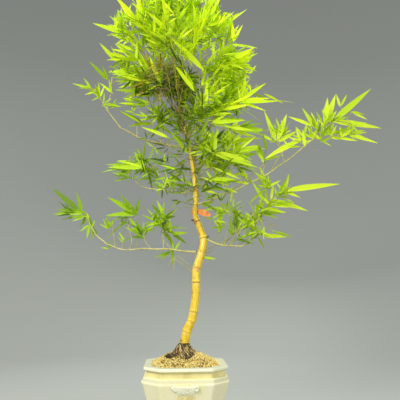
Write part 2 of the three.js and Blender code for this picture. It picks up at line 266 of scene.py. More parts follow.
def runTree(name, mesh, tree, sizes):
    # the tree's result on a mesh, as a plain mesh of its own
    base = linked(name + "Base", mesh)
    modifier = base.modifiers.new("grow", "NODES")
    modifier.node_group = tree
    for item in tree.interface.items_tree:
        if item.in_out == "INPUT" and item.name in sizes:
            modifier[item.identifier] = sizes[item.name]
    evaluated = base.evaluated_get(bpy.context.evaluated_depsgraph_get())
    grown = bpy.data.meshes.new_from_object(evaluated)
    grown.name = name
    base.modifiers.remove(modifier)
    bpy.data.objects.remove(base)
    return linked(name, grown)


def vectorMath(tree, operation, first, second):
    socket = "Scale" if operation == "SCALE" else 1
    return addNode(tree, "ShaderNodeVectorMath", {0: first, socket: second}, operation=operation)


def namedInput(tree, name, kind="FLOAT"):
    return addNode(tree, "GeometryNodeInputNamedAttribute", {"Name": name}, data_type=kind)


# The stage: pale floor running up into a round wall, soft lights, and the camera

stage = {
    "floorRadius": 3500,
    "innerRadius": 400,
    "cove": 1600,
    "coveSteps": 16,
    "wallHeight": 4600,
    "around": 96,
    "paint": (160, 165, 160),
}


def buildStage():
    cove = stage["cove"]
    flat = stage["floorRadius"] - cove
    profile = [(stage["innerRadius"], 0), (flat, 0)]
    for step in range(1, stage["coveSteps"] + 1):
        angle = math.pi / 2 * step / stage["coveSteps"]
        profile.append((flat + cove * math.sin(angle), cove * (1 - math.cos(angle))))
    profile.append((stage["floorRadius"], stage["wallHeight"]))
    points = [(0, 0, 0)]
    for radius, height in profile:
        for turn in range(stage["around"]):
            angle = math.tau * turn / stage["around"]
            points.append((radius * math.cos(angle), radius * math.sin(angle), height))
    material, tree = newMaterial("stagePaint")
    surface(tree, tone(*stage["paint"]), 0.95)
    floor = meshPiece("floor", points, domeFaces(len(profile), stage["around"]), material)
    floor.visible_diffuse = False
    floor.visible_shadow = False


camera = {
    "at": (-0.0372, -1.4435, 0.4226),  # metres
    "tiltUp": 11.26,                   # degrees above level
    "turnRight": 3.3,
    "roll": 0.24,
    "lens": 41.35,
    "sensor": 36,
    "nearest": 0.05,
}


def buildCamera():
    data = bpy.data.cameras.new("camera")
    data.lens = camera["lens"]
    data.sensor_width = camera["sensor"]
    data.clip_start = camera["nearest"]
    eye = linked("camera", data)
    eye.matrix_world = Matrix.Translation(camera["at"])
    for degrees, axis in ((-camera["turnRight"], "Z"), (90 + camera["tiltUp"], "X"),
                          (-camera["roll"], "Z")):
        eye.matrix_world = eye.matrix_world @ Matrix.Rotation(math.radians(degrees), 4, axis)
    bpy.context.scene.camera = eye


world = {"strength": 0.40, "aim": (0.0, 0.0, 0.85)}  # aim: what the lamps point at
lamps = {  # metres and watts
    "key": {"at": (-1.7, -1.9, 2.3), "size": 1.3, "power": 88, "colour": (1.0, 0.98, 0.93)},
    "fill": {"at": (2.1, -1.6, 1.2), "size": 1.8, "power": 22, "colour": (0.95, 0.98, 1.0)},
    "top": {"at": (0.1, 0.2, 3.1), "size": 1.6, "power": 40, "colour": (1.0, 1.0, 0.97)},
    "rim": {"at": (0.8, 2.4, 1.9), "size": 1.2, "power": 24, "colour": (1.0, 1.0, 0.95)},
    "low": {"at": (0.34, -2.88, 0.95), "size": 0.9, "power": 3.8, "colour": (1.0, 0.99, 0.95),
            "aim": (0.0, 0.0, 0.15), "spread": 90},
}


def buildLights():
    for name, lamp in lamps.items():
        data = bpy.data.lights.new(name, "AREA")
        data.shape = "DISK"
        data.size = lamp["size"]
        data.energy = lamp["power"]
        data.color = lamp["colour"]
        data.spread = math.radians(lamp.get("spread", 180))
        light = linked(name, data)
        light.location = lamp["at"]
        way = Vector(lamp.get("aim", world["aim"])) - Vector(lamp["at"])
        light.rotation_euler = way.to_track_quat("-Z", "Y").to_euler()
    studio = bpy.data.worlds.new("studio")
    studio.use_nodes = True
    background = studio.node_tree.nodes["Background"]
    background.inputs["Color"].default_value = (1, 1, 1, 1)
    background.inputs["Strength"].default_value = world["strength"]
    bpy.context.scene.world = studio
    bpy.context.scene.view_settings.view_transform = "Standard"


buildStage()
buildCamera()
buildLights()
print("stage, camera and lights")


# The pot: one closed shell swept round a square with cut corners

pot = {
    "chamfer": 0.385,             # corner cut, as a part of the half width
    "cornerRound": 0.035,         # and the rounding of the eight upright corners
    "faceSteps": 92,
    "chamferSteps": 8,
    "slopeSteps": 96,             # levels on the sloping wall, which carries the relief
    "edgeRound": 1.6,
    "slopeLow": (84, 24),         # half width and height
    "slopeHigh": (122.8, 171),
    "outside": [(88, 0), (88, 15), (84, 20), (84, 24), (122.8, 171), (122.6, 173.6),
                (120.8, 175.4), (120.6, 185), (118.8, 187.2), (112.4, 188), (112.4, 202),
                (114.5, 203.5), (120, 206.5), (120, 215), (99, 215), (98.2, 206), (75, 12)],
    "innerLevels": 4,             # the last levels of the outline, inside the pot
    "band": (174.5, 187),         # the moulding over the wall
    "neck": (186.6, 204.5, 116.5),  # the groove under the lip: low, high, half width
    "lipLow": 204,
    "dustFrom": 214.4,
    "footWear": 60,               # how far up the wall is worn
}
relief = {  # across a face and down its slope
    "shift": -2.5,
    "fanReach": 39,
    "fanWidest": 6,        # how far down the shell is widest
    "fanRise": 11,
    "fanDrop": 17.5,
    "lobes": 9,
    "fanProud": 5.4,
    "swirlAt": (6, 9),
    "swirlRadius": 8.5,
    "swirlProud": 1.2,
    "loopAt": (30, 6.5),
    "loopRadius": 5.5,
    "loopProud": ((-1, 4.2), (1, 5.8)),
    "loopThick": 2.3,
    "apronEnd": 27,
    "apronProud": 2.9,
    "consoleTop": 14,
    "consoleEnd": 98,
    "consoleHalf": 26,
    "consoleProud": 2.4,
    "pendant": (38, 9, 3.6),  # how far down, radius and how proud
    "bead": (94, 6, 4.0),
}


def ringPlan(chamfer, rounding, faceSteps, chamferSteps):
    # the outline for a half width of 1: points, and which flat face each lies on
    corners = []
    for turn in range(4):
        angle = math.pi / 2 * turn
        for x, y in ((1 - chamfer, -1), (1, chamfer - 1)):
            corners.append((x * math.cos(angle) - y * math.sin(angle),
                            x * math.sin(angle) + y * math.cos(angle)))
    corners = np.array(corners)
    points, owners = [], []
    for index, here in enumerate(corners):
        following = corners[(index + 1) % 8]
        before = unit(corners[index - 1] - here) * rounding
        after = unit(following - here) * rounding
        points += roundedCorner(here, before, after)
        last = points[-1]
        target = following + unit(here - following) * rounding
        cut = index % 2 == 0
        steps = chamferSteps if cut else faceSteps
        points += [last + (target - last) * step / steps for step in range(1, steps)]
        owners += [-1] * 4 + [-1 if cut else (index // 2 + 1) % 4] * (steps - 1)
    return np.array(points), np.array(owners)


def roundedCorner(here, before, after):
    return [here + before * (1 - part) ** 2 + after * part ** 2 for part in (0, 1 / 3, 2 / 3, 1)]


def softenedOutline(corners, radius):
    corners = np.array(corners, float)
    line = [corners[0]]
    for before, here, after in zip(corners, corners[1:], corners[2:]):
        reaches = [unit(end - here) * min(radius, 0.42 * np.linalg.norm(end - here))
                   for end in (before, after)]
        line += roundedCorner(here, *reaches)
    return line + [corners[-1]]


def shellHeight(across, down):
    # the fan-shaped shell with its scroll and its two loops
    below = down - relief["fanWidest"]
    tall = relief["fanDrop"] if below > 0 else relief["fanRise"]
    reach = np.hypot(across / relief["fanReach"], below / tall)
    lobe = 0.5 + 0.5 * np.cos(2 * relief["lobes"] * np.arctan2(down, across * 0.6))
    inside = smooth(1 - reach, 0, 0.13) * smooth(down, -0.5, 1.0)
    bulge = 0.55 + 0.45 * np.sqrt(np.clip(1 - reach, 0, 1))
    fan = relief["fanProud"] * inside * bulge * (0.82 + 0.18 * lobe)
    x, y = across - relief["swirlAt"][0], down - relief["swirlAt"][1]
    distance = np.hypot(x, y) / relief["swirlRadius"]
    turned = np.cos(1.5 * math.tau * distance - np.arctan2(y, x))
    fan = fan + relief["swirlProud"] * turned * smooth(1 - distance, 0, 0.4)
    for side, proud in relief["loopProud"]:
        x = np.abs(across - side * relief["loopAt"][0])
        y = np.abs(down - relief["loopAt"][1])
        away = np.hypot(x, y) * 0.5 + (x + y) * 0.42 - relief["loopRadius"]
        fan = np.maximum(fan, proud * dome(away / relief["loopThick"]))
    return fan


def consoleHeight(across, down):
    # the tapering bracket under the shell, with a scalloped apron, a pendant and a bead
    length = relief["consoleEnd"] - relief["consoleTop"]
    part = np.clip((down - relief["consoleTop"]) / length, 0, 1)
    half = relief["consoleHalf"] - 5 * part - 10 * smooth(part, 0.3, 0.95)
    within = half * dome(np.clip((part - 0.9) / 0.1, 0, 1)) - np.abs(across)
    start = smooth(down, 8, 12)
    rim = 0.6 + 0.3 * bell(within - 2.6, 1.5)
    console = relief["consoleProud"] * smooth(within, 0, 1.6) * start * rim
    hem = relief["apronEnd"] - 2.2 * np.abs(np.sin(across / 5.2))
    apron = smooth(within, 1.0, 4.0) * smooth(hem - down, 0, 1.4) * start
    level, radius, proud = relief["pendant"]
    pendant = proud * dome(np.hypot(across, down - level) / radius)
    pendant = pendant * (0.85 + 0.15 * np.cos(across / 1.4))
    level, radius, proud = relief["bead"]
    bead = proud * dome(np.hypot(across, down - level) / radius)
    return np.maximum.reduce([console, relief["apronProud"] * apron, pendant, bead])


def reliefHeight(across, down):
    # millimetres proud of the wall, and where the shell is what shows
    across = across - relief["shift"]
    shell = shellHeight(across, down)
    under = consoleHeight(across, down)
    return np.maximum(shell, under), shell > under + 0.3


def potMaterial():
    material, tree = newMaterial("castCream")
    cloud = grainOf(tree, 11, 5)
    uneven = scaleAdd(tree, cloud, 0.55, -0.25)
    uneven = scaleAdd(tree, grainOf(tree, 30, 3, (1, 1, 0.12)), 0.35, uneven)
    factor = calculate(tree, "ADD", uneven, attributeOf(tree, "stainAndShade"), clamp=True)
    colour = ramp(tree, factor, (0.0, 240, 238, 204), (0.3, 236, 231, 180),
                  (0.6, 224, 214, 148), (1.0, 164, 146, 88))
    washAndLight = attributeOf(tree, "washAndLight")  # white above 0, dusty below; it also carries painted highlight on the shell and painted shade on the band
    colour = layer(tree, colour, (240, 245, 222), washAndLight, 0.62)
    colour = layer(tree, colour, (184, 188, 162), washAndLight, -0.8)
    specks = specksOf(tree, 160, 2, (1, 1, 1), 0.71)
    colour = layer(tree, colour, (150, 132, 88), specks, 0.45)
    coarse = bump(tree, cloud, 0.35, 0.004)
    normal = bump(tree, grainOf(tree, 420, 2), 0.35, 0.0006, coarse)
    surface(tree, colour, 0.78, normal, Specular_IOR_Level=0.3)
    return material


def potProfile():
    # half widths and heights, with close levels where the wall carries the relief
    outline = softenedOutline(pot["outside"], pot["edgeRound"])
    line = []
    for here, following in zip(outline, outline[1:]):
        steps = pot["slopeSteps"] if following[1] - here[1] > 100 else 1
        line += [here + (following - here) * step / steps for step in range(steps)]
    return line + [outline[-1]]


def buildPot():
    plan, owners = ringPlan(pot["chamfer"], pot["cornerRound"], pot["faceSteps"],
                            pot["chamferSteps"])
    line = potProfile()
    (narrow, bottom), (wide, top) = pot["slopeLow"], pot["slopeHigh"]
    slope = math.atan((wide - narrow) / (top - bottom))
    neckLow, neckHigh, neckHalf = pot["neck"]
    points, stainsAndShade, washesAndLight = [], [], []
    for order, (half, z) in enumerate(line):
        outer = order < len(line) - pot["innerLevels"]
        ring = np.column_stack([plan * half, np.full(len(plan), z)])
        stainAndShade = np.full(len(plan), 0.1 * smooth(pot["footWear"] - z, 0, pot["footWear"]))
        washAndLight = np.zeros(len(plan))
        if outer:
            # the lip is paler than the wall; the band has painted shade, and the groove between them a
            # yellow stain with painted shade
            washAndLight += 0.75 * (z > pot["lipLow"]) - 0.35 * (pot["band"][0] < z < pot["band"][1])
            stainAndShade += 0.38 * (neckLow < z < neckHigh and half < neckHalf)
        if outer and bottom < z < top + 2:
            down = (top - z) / math.cos(slope)
            for face, (nx, ny) in enumerate(((0, -1), (1, 0), (0, 1), (-1, 0))):
                mine = owners == face
                across = ring[mine, 0] * -ny + ring[mine, 1] * nx
                height, shell = reliefHeight(across, down)
                lean = np.array([nx * math.cos(slope), ny * math.cos(slope), -math.sin(slope)])
                ring[mine] += np.outer(height, lean)
                # partly the shell's own paler colour, partly painted highlight: paler the prouder it
                # stands
                washAndLight[mine] = 0.9 * smooth(height, 0.8, 3.0) * shell
                # darker and yellower on the console below the shell
                stainAndShade[mine] += 0.34 * smooth(height, 0.5, 1.2) * smooth(down, 26, 30)
                # painted shade: darker where the wall round about stands higher, in the relief's
                # hollows
                near = sum(reliefHeight(across + aside, down + under)[0]
                           for aside, under in ((0, 2.5), (2.5, 0), (-2.5, 0))) / 3
                stainAndShade[mine] += np.clip((near - height) * 0.26, -0.2, 0.45)
        if z > pot["dustFrom"]:
            washAndLight[:] = -1
        points.append(ring)
        stainsAndShade.append(stainAndShade)
        washesAndLight.append(washAndLight)
    values = {"stainAndShade": np.concatenate(stainsAndShade), "washAndLight": np.concatenate(washesAndLight)}
    piece = meshPiece("potShell", np.concatenate(points), tubeFaces(len(line), len(plan)),
                      potMaterial(), values, sharp=48)
    placePiece(piece, ["pot"])


buildPot()
print("pot")


# The grit: a mounded bed, and loose grains scattered over it

grit = {
    "level": 211,
    "seatLevel": 245,
    "seatPart": 0.31,
    "moundPower": 1.5,
    "wallHalf": 98,
    "hollow": (9, -47, 46, 15),  # in front of the roots: middle, radius and depth
    "skirt": 18,
    "skirtInset": 2.5,
    "uneven": 1.5,
    "rings": 44,
    "faceSteps": 20,
    "chamferSteps": 10,
}
grains = {  # the tree's inputs: for each square metre, the biggest one's radius in metres
    "Density": 84000.0,
    "Grain": 0.0029,
    "Seed": 11,
}


def gritHeight(x, y):
    # a rounder heap than its flat-topped solid
    straight = max(abs(x), abs(y))
    slanted = (abs(x) + abs(y)) / (2 - pot["chamfer"])
    part = max(straight, slanted) / grit["wallHalf"]  # 0 in the middle, 1 at the wall
    low = grit["seatPart"] ** grit["moundPower"]
    fall = max(0.0, (part ** grit["moundPower"] - low) / (1 - low))
    middleX, middleY, radius, depth = grit["hollow"]
    away = math.hypot(x - middleX, y - middleY) / radius
    sunk = depth * (1 - min(1.0, away) ** 2) ** 2
    wave = roughness(x * 0.05, y * 0.05, 3.1) * min(1.0, 3.5 * (1 - part) + 0.2)
    return (grit["seatLevel"] + (grit["level"] - grit["seatLevel"]) * fall - sunk
            + grit["uneven"] * wave)


def gritMaterial(name, factorOf, *stops):
    material, tree = newMaterial(name)
    colour = ramp(tree, factorOf(tree), *stops)
    veins = grainOf(tree, 700, 3)
    colour = layer(tree, colour, (168, 138, 72), veins, 0.25)
    surface(tree, colour, 0.88, bump(tree, veins, 0.5, 0.0005))
    return material


def randomValue(tree, kind, sockets, low, high, seed):
    node = addNode(tree, "FunctionNodeRandomValue", {sockets[0]: low, sockets[1]: high,
                                                     "Seed": seed}, data_type=kind)
    return node.outputs[1 if kind == "FLOAT" else 0]


def grainTree(material):
    tree, given = newTree("scatterGrains", grains)
    facing = addNode(tree, "GeometryNodeInputNormal")
    height = addNode(tree, "ShaderNodeSeparateXYZ", {0: facing}).outputs[2]
    onTop = addNode(tree, "FunctionNodeCompare", {0: height, 1: 0.3}, operation="GREATER_THAN")
    scatter = addNode(tree, "GeometryNodeDistributePointsOnFaces",
                      {"Mesh": given["Geometry"], "Selection": onTop,
                       "Density": given["Density"], "Seed": given["Seed"]})
    ball = addNode(tree, "GeometryNodeMeshIcoSphere", {"Radius": 1.0, "Subdivisions": 1})
    lump = addNode(tree, "ShaderNodeTexNoise", {"Scale": 0.9, "Detail": 1.0}).outputs["Color"]
    shift = vectorMath(tree, "SUBTRACT", lump, (0.5, 0.5, 0.5))
    shift = vectorMath(tree, "SCALE", shift, 0.9)
    stone = addNode(tree, "GeometryNodeSetPosition", {"Geometry": ball, "Offset": shift})
    turn = randomValue(tree, "FLOAT_VECTOR", (0, 1), (0, 0, 0), (6.28, 6.28, 6.28), 3)
    size = randomValue(tree, "FLOAT_VECTOR", (0, 1), (0.6, 0.5, 0.42), (1.1, 0.95, 0.8), 4)
    stones = addNode(tree, "GeometryNodeInstanceOnPoints",
                     {"Points": scatter, "Instance": stone, "Rotation": turn,
                      "Scale": vectorMath(tree, "SCALE", size, given["Grain"])})
    kept = addNode(tree, "GeometryNodeStoreNamedAttribute",
                   {"Geometry": stones, "Name": "shade",
                    "Value": randomValue(tree, "FLOAT", (2, 3), 0.0, 1.0, 5)},
                   data_type="FLOAT", domain="INSTANCE")
    endTree(tree, kept, material)
    return tree


def buildGrit():
    plan, owners = ringPlan(pot["chamfer"], pot["cornerRound"], grit["faceSteps"],
                            grit["chamferSteps"])
    count, rings = len(plan), grit["rings"]
    points = [(0, 0, gritHeight(0, 0))]
    for ring in range(1, rings + 1):
        points += [(x, y, gritHeight(x, y)) for x, y in plan * (grit["wallHalf"] * ring / rings)]
    skirt = plan * (grit["wallHalf"] - grit["skirtInset"])
    points += [(x, y, grit["level"] - grit["skirt"]) for x, y in skirt]
    last = 1 + rings * count
    faces = domeFaces(rings + 1, count) + [tuple(range(last, last + count))[::-1]]
    # painted shade: the bed under the grains is dark brown, standing for the shade in the gaps between
    # them
    gapShade = gritMaterial("gritGapShade", lambda tree: grainOf(tree, 300, 2),
                         (0.3, 72, 56, 24), (0.6, 140, 112, 54))
    bed = meshPiece("gritBed", points, faces, gapShade)
    stone = gritMaterial("gritGrain", lambda tree: attributeOf(tree, "shade"),
                         (0.0, 84, 66, 26), (0.12, 154, 126, 54), (0.3, 208, 184, 88),
                         (0.55, 228, 210, 118), (0.86, 246, 236, 168), (1.0, 226, 166, 76))
    scattered = runTree("gritGrains", bed.data.copy(), grainTree(stone), grains)
    shade(scattered.data, False)
    placePiece(bed, ["grit"])
    placePiece(scattered, ["grit"])
    return len(scattered.data.polygons)


print("grit", buildGrit())


# Lines through given points, and tubes round them

def linePath(corners, spacing=2.0):
    # a smooth line through the corners, in even steps
    corners = np.array(corners, float)
    padded = np.vstack([2 * corners[0] - corners[1], corners, 2 * corners[-1] - corners[-2]])
    samples = []
    for before, here, after, beyond in zip(padded, padded[1:], padded[2:], padded[3:]):
        first, middle, last = (max(1e-4, np.linalg.norm(gap)) ** 0.5
                               for gap in (here - before, after - here, beyond - after))
        leave = ((here - before) / first - (after - before) / (first + middle)
                 + (after - here) / middle) * middle
        arrive = ((after - here) / middle - (beyond - here) / (middle + last)
                  + (beyond - after) / last) * middle
        for part in np.arange(0, 1, 0.05):
            samples.append(here + leave * part
                           + (3 * (after - here) - 2 * leave - arrive) * part ** 2
                           + (2 * (here - after) + leave + arrive) * part ** 3)
    samples = np.array(samples + [corners[-1]])
    lengths = np.concatenate([[0], np.cumsum(np.linalg.norm(np.diff(samples, axis=0), axis=1))])
    count = max(2, int(round(lengths[-1] / spacing)))
    even = np.linspace(0, lengths[-1], count + 1)
    return np.column_stack([np.interp(even, lengths, samples[:, axis]) for axis in range(3)])


def sweep(path, radii, sides, offsets=None):
    # the points and faces of a closed tube
    ways = np.gradient(path, axis=0)
    ways /= np.linalg.norm(ways, axis=1)[:, None]
    angles = np.arange(sides) * math.tau / sides
    reaches = np.array(radii, float)[:, None] + (np.zeros(sides) if offsets is None else offsets)
    side = np.array([0.0, -1.0, 0.0])
    points = []
    for centre, way, reach in zip(path, ways, reaches):
        side = unit(side - way * side.dot(way))
        points.append(centre + np.outer(np.cos(angles) * reach, side)
                      + np.outer(np.sin(angles) * reach, np.cross(way, side)))
    return np.concatenate(points), tubeFaces(len(path), sides)


def nearestMark(values, marks):
    # how far each value lies past its nearest mark, and which mark that is
    gaps = values[:, None] - np.array(marks, float)[None, :]
    owners = np.abs(gaps).argmin(axis=1)
    return gaps[np.arange(len(values)), owners], owners


# The culm: one golden stem with swollen nodes, sheath scars and a flared foot

culm = {
    "sides": 40,
    "spacing": 1.6,
    "line": [(-3, 0, 245.3, 28), (-3, 0, 254, 19.5), (-3, 0, 268, 14), (6, -2, 308, 13.5),
             (19, -6, 338, 13.1), (26, -9, 370, 12.8), (32, -10, 420, 12.7),
             (34, -8, 490, 12.3), (48, -3, 535, 11.9), (57, 4, 570, 11.5), (56, 7, 590, 11.2),
             (42, 8, 630, 10.1), (31, 5, 665, 8.9), (32, 0, 715, 8.3), (29, -2, 780, 7.4),
             (14, 0, 874, 5.6), (-2, 3, 940, 5.0), (-16, 5, 985, 4.8), (-19, 5, 1010, 4.4)],
    # height of each node, and how dark its ring is
    "nodes": {302: 0.12, 333: 0.16, 362: 0.45, 449: 0.85, 492: 0.35, 541: 0.25, 587: 0.8,
              642: 1.0, 693: 0.5, 750: 0.6, 797: 0.5, 843: 0.5, 874: 0.5, 940: 0.5, 985: 0.5},
    # node: turn and length of the groove above it; a turn of 0 faces the front, 1.57 the right
    "grooves": {541: (0.5, 42), 587: (-1.2, 46), 642: (1.2, 42), 693: (-0.6, 46),
                750: (0.9, 40), 797: (-0.9, 40), 843: (0.8, 28), 874: (-0.8, 56)},
    "grooveDepth": 1.3,
    # height, turn and how proud
    "knobs": [(640, -1.35, 4.2), (588, 1.35, 3.4), (541, -1.3, 2.6), (797, -1.3, 2.0),
              (745, -1.3, 2.2), (843, 1.3, 1.8)],
    # sheath scars, then dark blemishes: height, turn, height and turn each covers, and strength
    "scars": [(492, 0.1, 6, 0.9, 0.8), (541, 1.2, 4, 0.5, 0.5)],
    "marks": [(418, -1.25, 5, 0.45, 1.0), (405, -1.1, 3, 0.3, 0.7), (463, -0.5, 2, 0.2, 0.9),
              (471, 0.7, 2.4, 0.2, 0.8), (357, 1.25, 4, 0.4, 1.0), (500, -0.9, 3, 0.3, 0.8),
              (484, 0.3, 3, 0.3, 0.7), (641, -1.0, 7, 0.9, 1.0), (335, -1.3, 3, 0.25, 0.6),
              (560, 1.3, 5, 0.3, 0.6), (608, -1.2, 4, 0.4, 0.6), (276, -1.1, 6, 0.6, 0.9),
              (281, 1.3, 5, 0.4, 0.7), (588, 1.3, 4, 0.6, 0.9), (541, -1.2, 4, 0.5, 0.6),
              (797, -0.9, 5, 0.9, 0.8), (745, -0.7, 5, 1.0, 0.8), (843, 0.8, 4, 0.8, 0.7),
              (693, 0.9, 4, 0.8, 0.7), (655, 0.4, 2, 0.3, 0.6), (624, -0.3, 2.2, 0.3, 0.6)],
    "roughness": 0.03,     # as a part of the radius
    "greenFrom": (0.78, 1.0),      # heights in metres, where the gold turns green
    "darkFoot": (0.268, 0.276),
}


def smoothNode(tree, value, low, high):
    return addNode(tree, "ShaderNodeMapRange", {0: value, 1: low, 2: high},
                   interpolation_type="SMOOTHSTEP")


def culmMaterial():
    material, tree = newMaterial("goldenCulm")
    coords = addNode(tree, "ShaderNodeTexCoord").outputs["Object"]
    height = addNode(tree, "ShaderNodeSeparateXYZ", {0: coords}).outputs[2]
    streak = grainOf(tree, 90, 4, (1, 1, 0.05))
    blotch = grainOf(tree, 34, 4, (1, 1, 0.55))
    factor = scaleAdd(tree, blotch, 0.5, scaleAdd(tree, streak, 0.75, -0.18), True)
    colour = ramp(tree, factor, (0.0, 246, 224, 84), (0.38, 236, 204, 54), (0.62, 218, 178, 40),
                  (0.85, 184, 142, 34), (1.0, 136, 98, 32))
    high = smoothNode(tree, height, *culm["greenFrom"])
    colour = layer(tree, colour, (176, 176, 70), high, 0.45)
    specks = specksOf(tree, 210, 3, (1, 1, 0.4), 0.665)
    colour = layer(tree, colour, (120, 78, 30), specks, 0.6)
    uneven = scaleAdd(tree, grainOf(tree, 160, 3), 0.9, 0.5)
    colour = layer(tree, colour, (112, 72, 34), attributeOf(tree, "ring"), uneven)
    colour = layer(tree, colour, (246, 226, 150), attributeOf(tree, "bloom"), 0.38)
    patchy = scaleAdd(tree, grainOf(tree, 260, 3), 2.4, -0.5, True)
    colour = layer(tree, colour, (186, 104, 54), attributeOf(tree, "scar"), patchy)
    colour = layer(tree, colour, (84, 54, 24), attributeOf(tree, "mark"), patchy)
    level = scaleAdd(tree, grainOf(tree, 120, 3), 0.012, height)
    foot = calculate(tree, "SUBTRACT", 1.0, smoothNode(tree, level, *culm["darkFoot"]))
    colour = layer(tree, colour, (74, 54, 34), foot)
    surface(tree, colour, scaleAdd(tree, blotch, 0.25, 0.3), bump(tree, streak, 0.2, 0.0008),
            Specular_IOR_Level=0.45, Coat_Weight=0.15, Coat_Roughness=0.35)
    return material


def nodeSwell(gap):
    # the profile of a node: a sheath scar, then the ridge above it
    return 0.055 * bell(gap + 0.8, 1.1) - 0.05 * bell(gap - 1.0, 0.9) + 0.10 * bell(gap - 4.2, 3.0)


def buildCulm():
    line = np.array(culm["line"], float)
    path = linePath(line[:, :3], culm["spacing"])
    heights = path[:, 2]
    gaps, owners = nearestMark(heights, list(culm["nodes"]))
    radii = np.interp(heights, line[:, 2], line[:, 3])
    radii = radii + radii * nodeSwell(gaps)
    sides = culm["sides"]
    angles = np.arange(sides) * math.tau / sides

    def aside(turn):
        return (angles - turn + math.pi) % math.tau - math.pi

    def patch(height, turn, tall, wide):
        return bell(heights - height, tall)[:, None] * bell(aside(turn), wide)

    def patches(entries):
        return np.maximum.reduce([strength * patch(*place) for *place, strength in entries])

    marks = patches(culm["marks"])
    offsets = np.zeros((len(path), sides))
    for node, (turn, length) in culm["grooves"].items():
        along = np.clip((heights - node - 4) / length, 0, 1)
        depth = np.sin(math.pi * along ** 0.7)[:, None]
        offsets -= culm["grooveDepth"] * depth * bell(aside(turn), 0.36)
        # a darker line down the middle of each groove
        marks = np.maximum(marks, 0.75 * depth ** 0.5 * bell(aside(turn), 0.13))
    for height, turn, proud in culm["knobs"]:
        offsets += proud * patch(height, turn, 4.0, 0.5)
    for order, height in enumerate(heights):
        for turn, angle in enumerate(angles):
            rough = roughness(math.cos(angle) * 1.3, math.sin(angle) * 1.3, height * 0.02)
            offsets[order, turn] += culm["roughness"] * radii[order] * rough
    points, faces = sweep(path, radii, sides, offsets)
    ring = np.array(list(culm["nodes"].values()))[owners] * bell(gaps - 0.8, 1.5)
    values = {"ring": np.repeat(ring, sides), "bloom": np.repeat(bell(gaps + 3.5, 2.2), sides),
              "scar": patches(culm["scars"]).ravel(), "mark": marks.ravel()}
    piece = meshPiece("culmBark", points, faces, culmMaterial(), values)
    placePiece(piece, ["culm"])
    return path


culmPath = buildCulm()
print("culm")


def nearLevel(level):
    return culmPath[int(np.abs(culmPath[:, 2] - level).argmin())]


def culmRadius(level):
    line = np.array(culm["line"], float)
    return float(np.interp(level, line[:, 2], line[:, 3]))


# The boughs: the limbs that leave the culm, as thin jointed stems

boughs = {  # what it leaves, at which height or share, its radii, and the points it runs through
    "bough_left_low": ("culm", 541, 3.6, 2.3, [(-38, 12, 552), (-120, 42, 558), (-209, 75, 559),
                                               (-258, 91, 577)]),
    "bough_left_low_rise": ("bough_left_low", 1, 2.3, 1.6, [(-292, 102, 606),
                                                            (-342, 110, 682)]),
    "twig_left_low_inner": ("bough_left_low", 0.38, 1.7, 1.2, [(-74, 44, 606)]),
    "twig_left_low_middle": ("bough_left_low", 0.74, 1.6, 1.2, [(-176, 82, 590),
                                                                (-192, 92, 648)]),
    "bough_left_middle": ("culm", 743, 3.0, 1.6, [(-12, 12, 736), (-84, 40, 752),
                                                  (-150, 62, 770), (-180, 70, 800)]),
    "bough_left_upper": ("culm", 880, 3.4, 2.3, [(-35, 0, 890), (-133, -10, 906),
                                                 (-212, -24, 942)]),
    "bough_left_upper_rise": ("bough_left_upper", 1, 2.3, 1.5, [(-258, -32, 1004),
                                                                (-296, -38, 1066)]),
    "twig_left_upper": ("bough_left_upper_rise", 0.48, 1.6, 1.2, [(-246, -30, 1052),
                                                                  (-243, -30, 1112)]),
    "twig_middle_left": ("bough_left_upper", 0.41, 1.7, 1.2, [(-85, 10, 945)]),
    "bough_right_upper": ("culm", 693, 3.6, 1.9, [(90, -20, 710), (160, -46, 738),
                                                  (249, -90, 776), (324, -130, 826),
                                                  (378, -155, 868)]),
    "twig_right_upper": ("bough_right_upper", 0.74, 1.8, 1.3, [(288, -110, 852)]),
    "bough_right_lower": ("culm", 588, 3.6, 1.8, [(96, -13, 570), (137, -30, 560),
                                                  (176, -44, 560), (232, -59, 602)]),
    "bough_right_lower_rise": ("bough_right_lower", 0.45, 1.9, 1.3, [(163, -42, 600),
                                                                     (222, -68, 671),
                                                                     (282, -92, 708)]),
    "twig_right_lower_middle": ("bough_right_lower_rise", 0.66, 1.5, 1.2, [(236, -70, 722)]),
    "twig_right_lower_inner": ("bough_right_lower", 0.36, 1.6, 1.2, [(124, -28, 590),
                                                                     (136, -30, 630)]),
    "bough_middle_right": ("culm", 843, 2.2, 1.4, [(52, -18, 850), (82, -34, 866)]),
    "bough_middle_front": ("culm", 905, 2.0, 1.4, [(20, -24, 930), (30, -44, 960)]),
    "bough_crown_right": ("culm", 876, 3.0, 1.7, [(58, -20, 905), (80, -45, 944),
                                                  (92, -56, 980)]),
    "bough_crown_right_back": ("bough_crown_right", 0.5, 2.1, 1.4, [(90, 30, 994),
                                                                    (124, 98, 1150)]),
    "bough_crown_right_low": ("bough_crown_right", 0.66, 1.8, 1.3, [(128, -60, 990),
                                                                    (176, -68, 1020)]),
    "bough_crown_low_left": ("culm", 955, 2.2, 1.4, [(-56, -5, 1010), (-96, -14, 1056)]),
    "stem_left": ("culm", 984, 2.9, 1.7, [(-70, 0, 1093), (-128, -10, 1181),
                                          (-168, -18, 1250)]),
    "stem_centre": ("culm", 1006, 3.6, 1.9, [(-33, 8, 1127), (-44, 5, 1254), (-49, 2, 1385)]),
    "stem_right": ("culm", 992, 2.9, 1.7, [(14, 2, 1096), (52, -5, 1188), (82, -10, 1262)]),
    "twig_crown_right": ("stem_right", 0.3, 1.8, 1.3, [(82, -10, 1092), (135, -22, 1134)]),
    "stem_front": ("culm", 975, 2.4, 1.5, [(-27, -60, 1042), (-40, -112, 1130)]),
    "stem_back": ("culm", 998, 2.6, 1.5, [(-15, 80, 1124), (-18, 132, 1262)]),
    "stem_left_back": ("stem_left", 0.42, 2.0, 1.4, [(-125, 60, 1130), (-168, 106, 1180)]),
}
